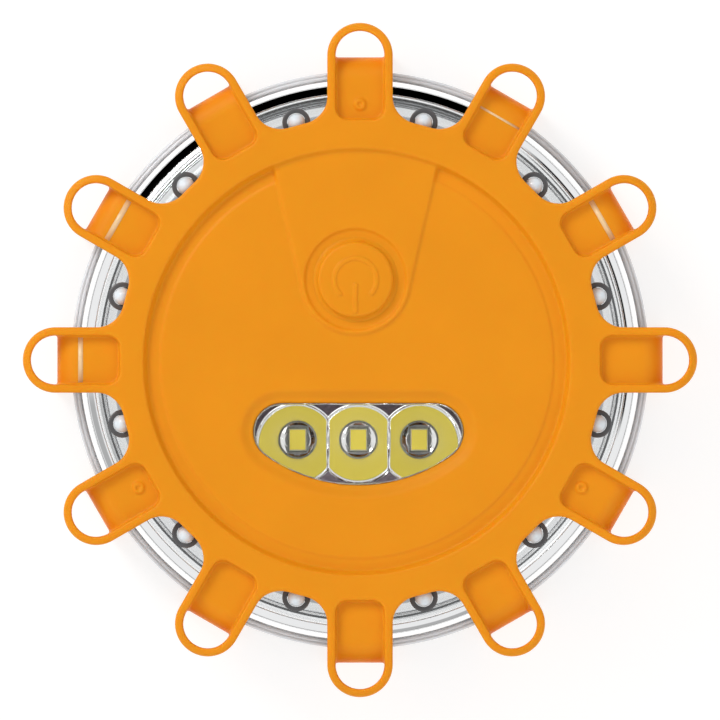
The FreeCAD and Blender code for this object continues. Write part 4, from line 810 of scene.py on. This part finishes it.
def surface(name, color, rough, metallic=0.0, vary=0.06, rough_vary=0.08, grain=3000.0, depth=0.00002,
            blotch=90.0, stretch=(1, 1, 1), **sockets):
    """A moulded, plated or printed finish: slow colour drift, fine roughness and a fine bump."""
    made, tree, shader = new_material(name)
    shade = tuple(max(c * (1 - vary), 0) for c in color)
    light = tuple(min(c * (1 + vary), 1) for c in color)
    drift = noise(tree, blotch)
    tree.links.new(ramp(tree, drift, [(0.3, shade), (0.7, light)]), shader.inputs["Base Color"])
    fine = noise(tree, grain, 3.0, stretch)
    roughness = spread(tree, fine, max(rough - rough_vary, 0.02), rough + rough_vary)
    tree.links.new(roughness, shader.inputs["Roughness"])
    bump(tree, shader, fine, 0.5, depth)
    shader.inputs["Metallic"].default_value = metallic
    for socket, number in sockets.items():
        shader.inputs[socket.replace("_", " ")].default_value = number
    return made


def clear(name, color, rough, ior=1.5, depth=0.000003, grain=240.0):
    """Clear moulded plastic with very slight flow waves."""
    made, tree, shader = new_material(name)
    drift = noise(tree, 60)
    shade = tuple(c * 0.99 for c in color)
    tree.links.new(ramp(tree, drift, [(0.3, shade), (0.7, color)]), shader.inputs["Base Color"])
    fine = noise(tree, grain, 2.0)
    tree.links.new(spread(tree, fine, rough, rough + 0.02), shader.inputs["Roughness"])
    bump(tree, shader, fine, 0.3, depth)
    shader.inputs["Transmission Weight"].default_value = 1.0
    shader.inputs["IOR"].default_value = ior
    return made


def lit(name, color, rough, glow):
    """A finish that also gives off a little light of its own colour."""
    made = surface(name, color, rough, grain=5000.0)
    shader = made.node_tree.nodes["Principled BSDF"]
    shader.inputs["Emission Color"].default_value = (*color, 1)
    shader.inputs["Emission Strength"].default_value = glow
    return made


RUBBER = (0.82, 0.297, 0.0065)
GLOW = dict(Subsurface_Weight=0.35, Subsurface_Radius=(1.0, 0.3, 0.1), Subsurface_Scale=0.0008)
rubber = surface("orange_rubber", RUBBER, 0.5, vary=0.02, rough_vary=0.05, grain=5200.0, depth=0.00001,
                 Specular_IOR_Level=0.16, **GLOW)
button_rubber = surface("orange_button", RUBBER, 0.5, vary=0.02, rough_vary=0.05, grain=5200.0,
                        depth=0.00001, Specular_IOR_Level=0.16, **GLOW)
clear_front = clear("clear_front", (0.985, 0.99, 0.99), 0.01, 1.52)
dome_frost = surface("dome_frost", (0.8, 0.89, 0.96), 0.12, vary=0.02, rough_vary=0.04, grain=1500.0,
                     depth=0.00001, Transmission_Weight=0.05, IOR=1.49)
clear_lamp = clear("clear_lamp", (0.99, 0.995, 0.99), 0.01, 1.45)
clear_rear = clear("clear_rear", (0.86, 0.88, 0.9), 0.04, 1.5, depth=0.000001)
satin_rear = surface("satin_rear", (0.84, 0.89, 0.94), 0.14, vary=0.03, rough_vary=0.03, grain=900.0,
                     depth=0.000002, Transmission_Weight=0.2, IOR=1.5)
chrome = surface("chrome_lamp", (0.9, 0.9, 0.9), 0.07, 1.0, vary=0.01, rough_vary=0.03, grain=900.0,
                 depth=0.000004)
tray_chrome = surface("chrome_tray", (0.84, 0.85, 0.86), 0.035, 1.0, vary=0.015, rough_vary=0.015,
                      grain=500.0, depth=0.000002)
# satin finish on the land; its purple-grey colour is a painted reflection, standing for what the plated land
# mirrors
land_satin_painted_reflection = surface("lamp_land_painted_reflection", (0.3, 0.235, 0.285), 0.4, vary=0.35, rough_vary=0.12, grain=2600.0,
                     blotch=2600.0, depth=0.00004)
collar_black = surface("collar_black", (0.085, 0.088, 0.094), 0.36, vary=0.12)
# painted highlight: the pale colour of the strips laid across the pockets
painted_glint_finish = surface("pocket_painted_glints", (0.86, 0.6, 0.32), 0.25, vary=0.06, rough_vary=0.06, grain=1500.0)
back_plastic = surface("back_black", (0.024, 0.024, 0.026), 0.5, vary=0.2, rough_vary=0.1, grain=2400.0,
                       depth=0.00006)
black_rubber = surface("seal_rubber", (0.02, 0.02, 0.021), 0.6, vary=0.15)
led_resin = surface("led_resin", (0.9, 0.32, 0.22), 0.08, vary=0.03, rough_vary=0.03, grain=800.0,
                    depth=0.000004, Transmission_Weight=0.75, IOR=1.5)
steel = surface("screw_steel", (0.62, 0.62, 0.63), 0.28, 1.0, vary=0.06, rough_vary=0.1, grain=2500.0)
spring_steel = surface("spring_steel", (0.7, 0.69, 0.66), 0.22, 1.0, vary=0.05)
nickel = surface("contact_nickel", (0.72, 0.69, 0.63), 0.25, 1.0, vary=0.06, grain=1800.0, stretch=(8, 1, 1))
cup_nickel = surface("cup_nickel", (0.74, 0.72, 0.68), 0.2, 1.0, vary=0.05, grain=1500.0)
ferrite = surface("ferrite", (0.055, 0.055, 0.06), 0.42, vary=0.25, rough_vary=0.12, grain=2200.0,
                  depth=0.00004)
door_plastic = surface("door_black", (0.022, 0.022, 0.024), 0.48, vary=0.2, rough_vary=0.1, grain=2600.0,
                       depth=0.00006)
hook_plastic = surface("hook_black", (0.022, 0.022, 0.024), 0.45, vary=0.2, rough_vary=0.1, grain=2600.0,
                       depth=0.00004)
brass = surface("insert_brass", (0.75, 0.52, 0.2), 0.3, 1.0, vary=0.06)
board_green = surface("board_green", (0.02, 0.13, 0.05), 0.35, vary=0.2, blotch=400.0, grain=1800.0,
                      Coat_Weight=0.4)
chip_black = surface("chip_black", (0.015, 0.015, 0.017), 0.5, vary=0.2)
led_package = surface("led_package", (0.86, 0.86, 0.82), 0.4, vary=0.02)
phosphor = lit("phosphor", (0.78, 0.64, 0.085), 0.5, 0.55)
can_metal = surface("capacitor_can", (0.66, 0.66, 0.68), 0.3, 1.0, vary=0.04)
white_plastic = surface("plunger_white", (0.78, 0.78, 0.75), 0.4, vary=0.03)
switch_black = surface("switch_black", (0.02, 0.02, 0.02), 0.4, vary=0.2)
pin_steel = surface("pin_steel", (0.7, 0.7, 0.7), 0.18, 1.0, vary=0.04)


def cell_jacket():
    """A plain printed cell: a dark jacket with a copper band at its nub end."""
    zinc, jacket, copper = (0.62, 0.6, 0.57), (0.012, 0.014, 0.016), (0.6, 0.3, 0.12)
    made, tree, shader = new_material("cell_jacket")
    drift = noise(tree, 200.0)
    place = tree.nodes.new("ShaderNodeTexCoord")
    split = tree.nodes.new("ShaderNodeSeparateXYZ")
    tree.links.new(place.outputs["Generated"], split.inputs["Vector"])
    band = ramp(tree, split.outputs["X"], [(0.0, zinc), (0.035, jacket), (0.72, jacket), (0.73, copper)])
    tree.links.new(band, shader.inputs["Base Color"])
    tree.links.new(spread(tree, drift, 0.22, 0.36), shader.inputs["Roughness"])
    shader.inputs["Metallic"].default_value = 0.5
    bump(tree, shader, drift, 0.3, 0.00001)
    return made


FINISHES = {
    rubber: ("rubber_cover", "bumper_arms"),
    button_rubber: ("button_cap",),
    clear_front: ("front_shell",),
    clear_rear: ("rear_shell",),
    tray_chrome: ("reflector_ring", "trim_ring"),
    collar_black: ("dome_collars",),
    back_plastic: ("back_plate",),
    chrome: ("flashlight_reflector",),
    black_rubber: ("o_ring", "door_gasket", "switch_seal"),
    led_resin: ("side_leds",),
    steel: ("housing_screws", "board_screws", "door_screws", "magnet_screw"),
    spring_steel: ("battery_springs", "side_led_leads"),
    nickel: ("battery_contacts",),
    cup_nickel: ("magnet_cup",),
    ferrite: ("magnet",),
    door_plastic: ("battery_door",),
    hook_plastic: ("hook",),
    pin_steel: ("hook_pin",),
    brass: ("brass_inserts",),
    board_green: ("main_pcb",),
    chip_black: ("controller_chip", "led_driver_transistors", "smd_resistors"),
    led_package: ("flashlight_leds",),
    phosphor: ("led_phosphors",),
    can_metal: ("capacitor",),
    white_plastic: ("switch_plunger", "tact_switch_stem"),
    switch_black: ("tact_switch_body",),
    cell_jacket(): ("aaa_cell_1", "aaa_cell_2", "aaa_cell_3"),
}
for finish, names in FINISHES.items():
    for name in names:
        for place in nodes[name].material_slots:
            place.material = finish


def dress(piece, finish, body):
    """Gives a new piece its material and its body."""
    piece.data.materials.clear()
    piece.data.materials.append(finish)
    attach(piece, body)
    return piece


# ---------------------------------------------------------------- making and placing the pieces

cover = dress(make_cover(), rubber, "housing")
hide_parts("rubber_cover", "bumper_arms")
cap = dress(make_button(), button_rubber, "power_button")
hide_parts("button_cap")
web = make_button_web()
web.data.transform(Matrix.Translation((button.x * MM, button.y * MM, 0)))
dress(web, rubber, "housing")
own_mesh(web)
shell = dress(make_front_shell(), clear_front, "housing")
dress(make_domes(), dome_frost, "housing")
dress(make_lamp_window(), clear_lamp, "housing")
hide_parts("front_shell")
mirror, land_faces = make_lamp_reflector()
dress(mirror, chrome, "housing")
# the land faces get the satin finish with the painted reflection colour
mirror.data.materials.append(land_satin_painted_reflection)
mirror.data.polygons.foreach_set("material_index", land_faces.tolist())
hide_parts("flashlight_reflector")
bezel = dress(make_bezel(), tray_chrome, "housing")
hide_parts("reflector_ring")
trim = dress(make_trim(), tray_chrome, "housing")
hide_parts("trim_ring")
collars = dress(make_collars(), collar_black, "housing")
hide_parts("dome_collars")
rim, edge_faces = make_rim()
dress(rim, clear_rear, "housing")
rim.data.materials.append(satin_rear)
rim.data.polygons.foreach_set("material_index", edge_faces)
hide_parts("rear_shell")
# the pale strips across the pockets are painted highlights, not a real part
dress(make_painted_glints(), painted_glint_finish, "housing")

# ---------------------------------------------------------------- floor, light and camera

FLOOR_HALF = 6
FLOOR_Z = -0.0001
floor_corners = [(x * FLOOR_HALF, y * FLOOR_HALF, FLOOR_Z) for x, y in ((-1, -1), (1, -1), (1, 1), (-1, 1))]
floor_mesh = bpy.data.meshes.new("floor")
floor_mesh.from_pydata(floor_corners, [], [(0, 1, 2, 3)])
floor = bpy.data.objects.new("floor", floor_mesh)
bpy.context.scene.collection.objects.link(floor)
floor_mat = surface("floor_white", (0.3, 0.3, 0.3), 0.7, vary=0.004, grain=40.0, blotch=3.0, depth=0.00001,
                    Specular_IOR_Level=0.1)
floor_shader = floor_mat.node_tree.nodes["Principled BSDF"]
floor_shader.inputs["Emission Color"].default_value = (1, 1, 1, 1)
floor_shader.inputs["Emission Strength"].default_value = 0.78
floor_mesh.materials.append(floor_mat)


def make_world():
    """A bright room for clean reflections: dark panels on several sides, a dark band low down, a dim top.

    Heights are the sine of the angle above the horizon.
    """
    world = bpy.data.worlds.new("studio")
    bpy.context.scene.world = world
    world.use_nodes = True
    tree = world.node_tree
    back = tree.nodes["Background"]
    place = tree.nodes.new("ShaderNodeTexCoord")
    split = tree.nodes.new("ShaderNodeSeparateXYZ")
    tree.links.new(place.outputs["Generated"], split.inputs["Vector"])

    def math_node(kind, a, b=None, c=None):
        """One arithmetic node; each input is a number or another node's output."""
        made = tree.nodes.new("ShaderNodeMath")
        made.operation = kind
        for socket, item in zip(made.inputs, (a, b, c)):
            if item is None:
                continue
            if isinstance(item, (int, float)):
                socket.default_value = item
            else:
                tree.links.new(item, socket)
        return made.outputs[0]

    def step_between(item, low, high):
        """A smooth step from 0 at low to 1 at high."""
        made = tree.nodes.new("ShaderNodeMapRange")
        made.interpolation_type = "SMOOTHSTEP"
        made.inputs["From Min"].default_value = low
        made.inputs["From Max"].default_value = high
        tree.links.new(item, made.inputs["Value"])
        return made.outputs["Result"]

    up = split.outputs["Z"]
    around = math_node("ARCTAN2", split.outputs["Y"], split.outputs["X"])

    def panel(middle, half, low, high):
        """1 inside a patch with soft edges: its middle and half width in degrees, and its two heights."""
        turned = math_node("SUBTRACT", around, math.radians(middle))
        wrapped = math_node("WRAP", turned, math.pi, -math.pi)
        off = math_node("ABSOLUTE", wrapped)
        wide = step_between(off, math.radians(half + 4), math.radians(half - 4))
        tall = math_node("MULTIPLY", step_between(up, low, low + 0.04), step_between(up, high, high - 0.04))
        return math_node("MULTIPLY", wide, tall)

    grey_panels = math_node("MAXIMUM", panel(200, 14, 0.12, 0.4), panel(285, 12, 0.02, 0.25))
    side_flag = math_node("MULTIPLY", grey_panels, 0.5)
    flag = math_node("MAXIMUM", panel(105, 42, 0.05, 0.54), side_flag)
    flag = math_node("MAXIMUM", flag, panel(18, 32, 0.34, 0.56))
    horizon = math_node("MULTIPLY", step_between(up, -0.05, -0.01), step_between(up, 0.13, 0.07))
    dark = math_node("MAXIMUM", flag, math_node("MULTIPLY", horizon, 0.85))
    dim = math_node("MULTIPLY", step_between(up, 0.9, 0.96), 0.85)
    shade = math_node("SUBTRACT", 1.0, math_node("MAXIMUM", dark, dim))
    strength = math_node("MULTIPLY", shade, 0.98)
    tree.links.new(strength, back.inputs["Strength"])
    back.inputs["Color"].default_value = (1.0, 0.995, 0.99, 1)


make_world()


def area(name, place, size, power, aim=(0, 0, 0.02)):
    """A rectangular light at a place, turned to what it aims at."""
    data = bpy.data.lights.new(name, "AREA")
    data.shape = "RECTANGLE"
    data.size, data.size_y = size
    data.energy = power
    made = bpy.data.objects.new(name, data)
    made.location = place
    made.rotation_euler = (Vector(aim) - Vector(place)).to_track_quat("-Z", "Y").to_euler()
    bpy.context.scene.collection.objects.link(made)


area("soft_key", (-0.9, 1.0, 1.0), (0.6, 0.6), 11.5)
area("soft_fill", (0.9, -0.8, 1.2), (0.7, 0.7), 1.5)

camera_data = bpy.data.cameras.new("camera")
camera = bpy.data.objects.new("camera", camera_data)
bpy.context.scene.collection.objects.link(camera)
AWAY = 2.5
VIEW_WIDTH = 0.112
camera_data.sensor_width = 36
camera_data.lens = 36 * AWAY / VIEW_WIDTH
camera.location = (0, 0, TOP * MM + AWAY)
camera.rotation_euler = (0, 0, 0)
camera_data.clip_end = 50
bpy.context.scene.camera = camera
bpy.context.scene.view_settings.view_transform = "Standard"

bpy.context.view_layer.update()
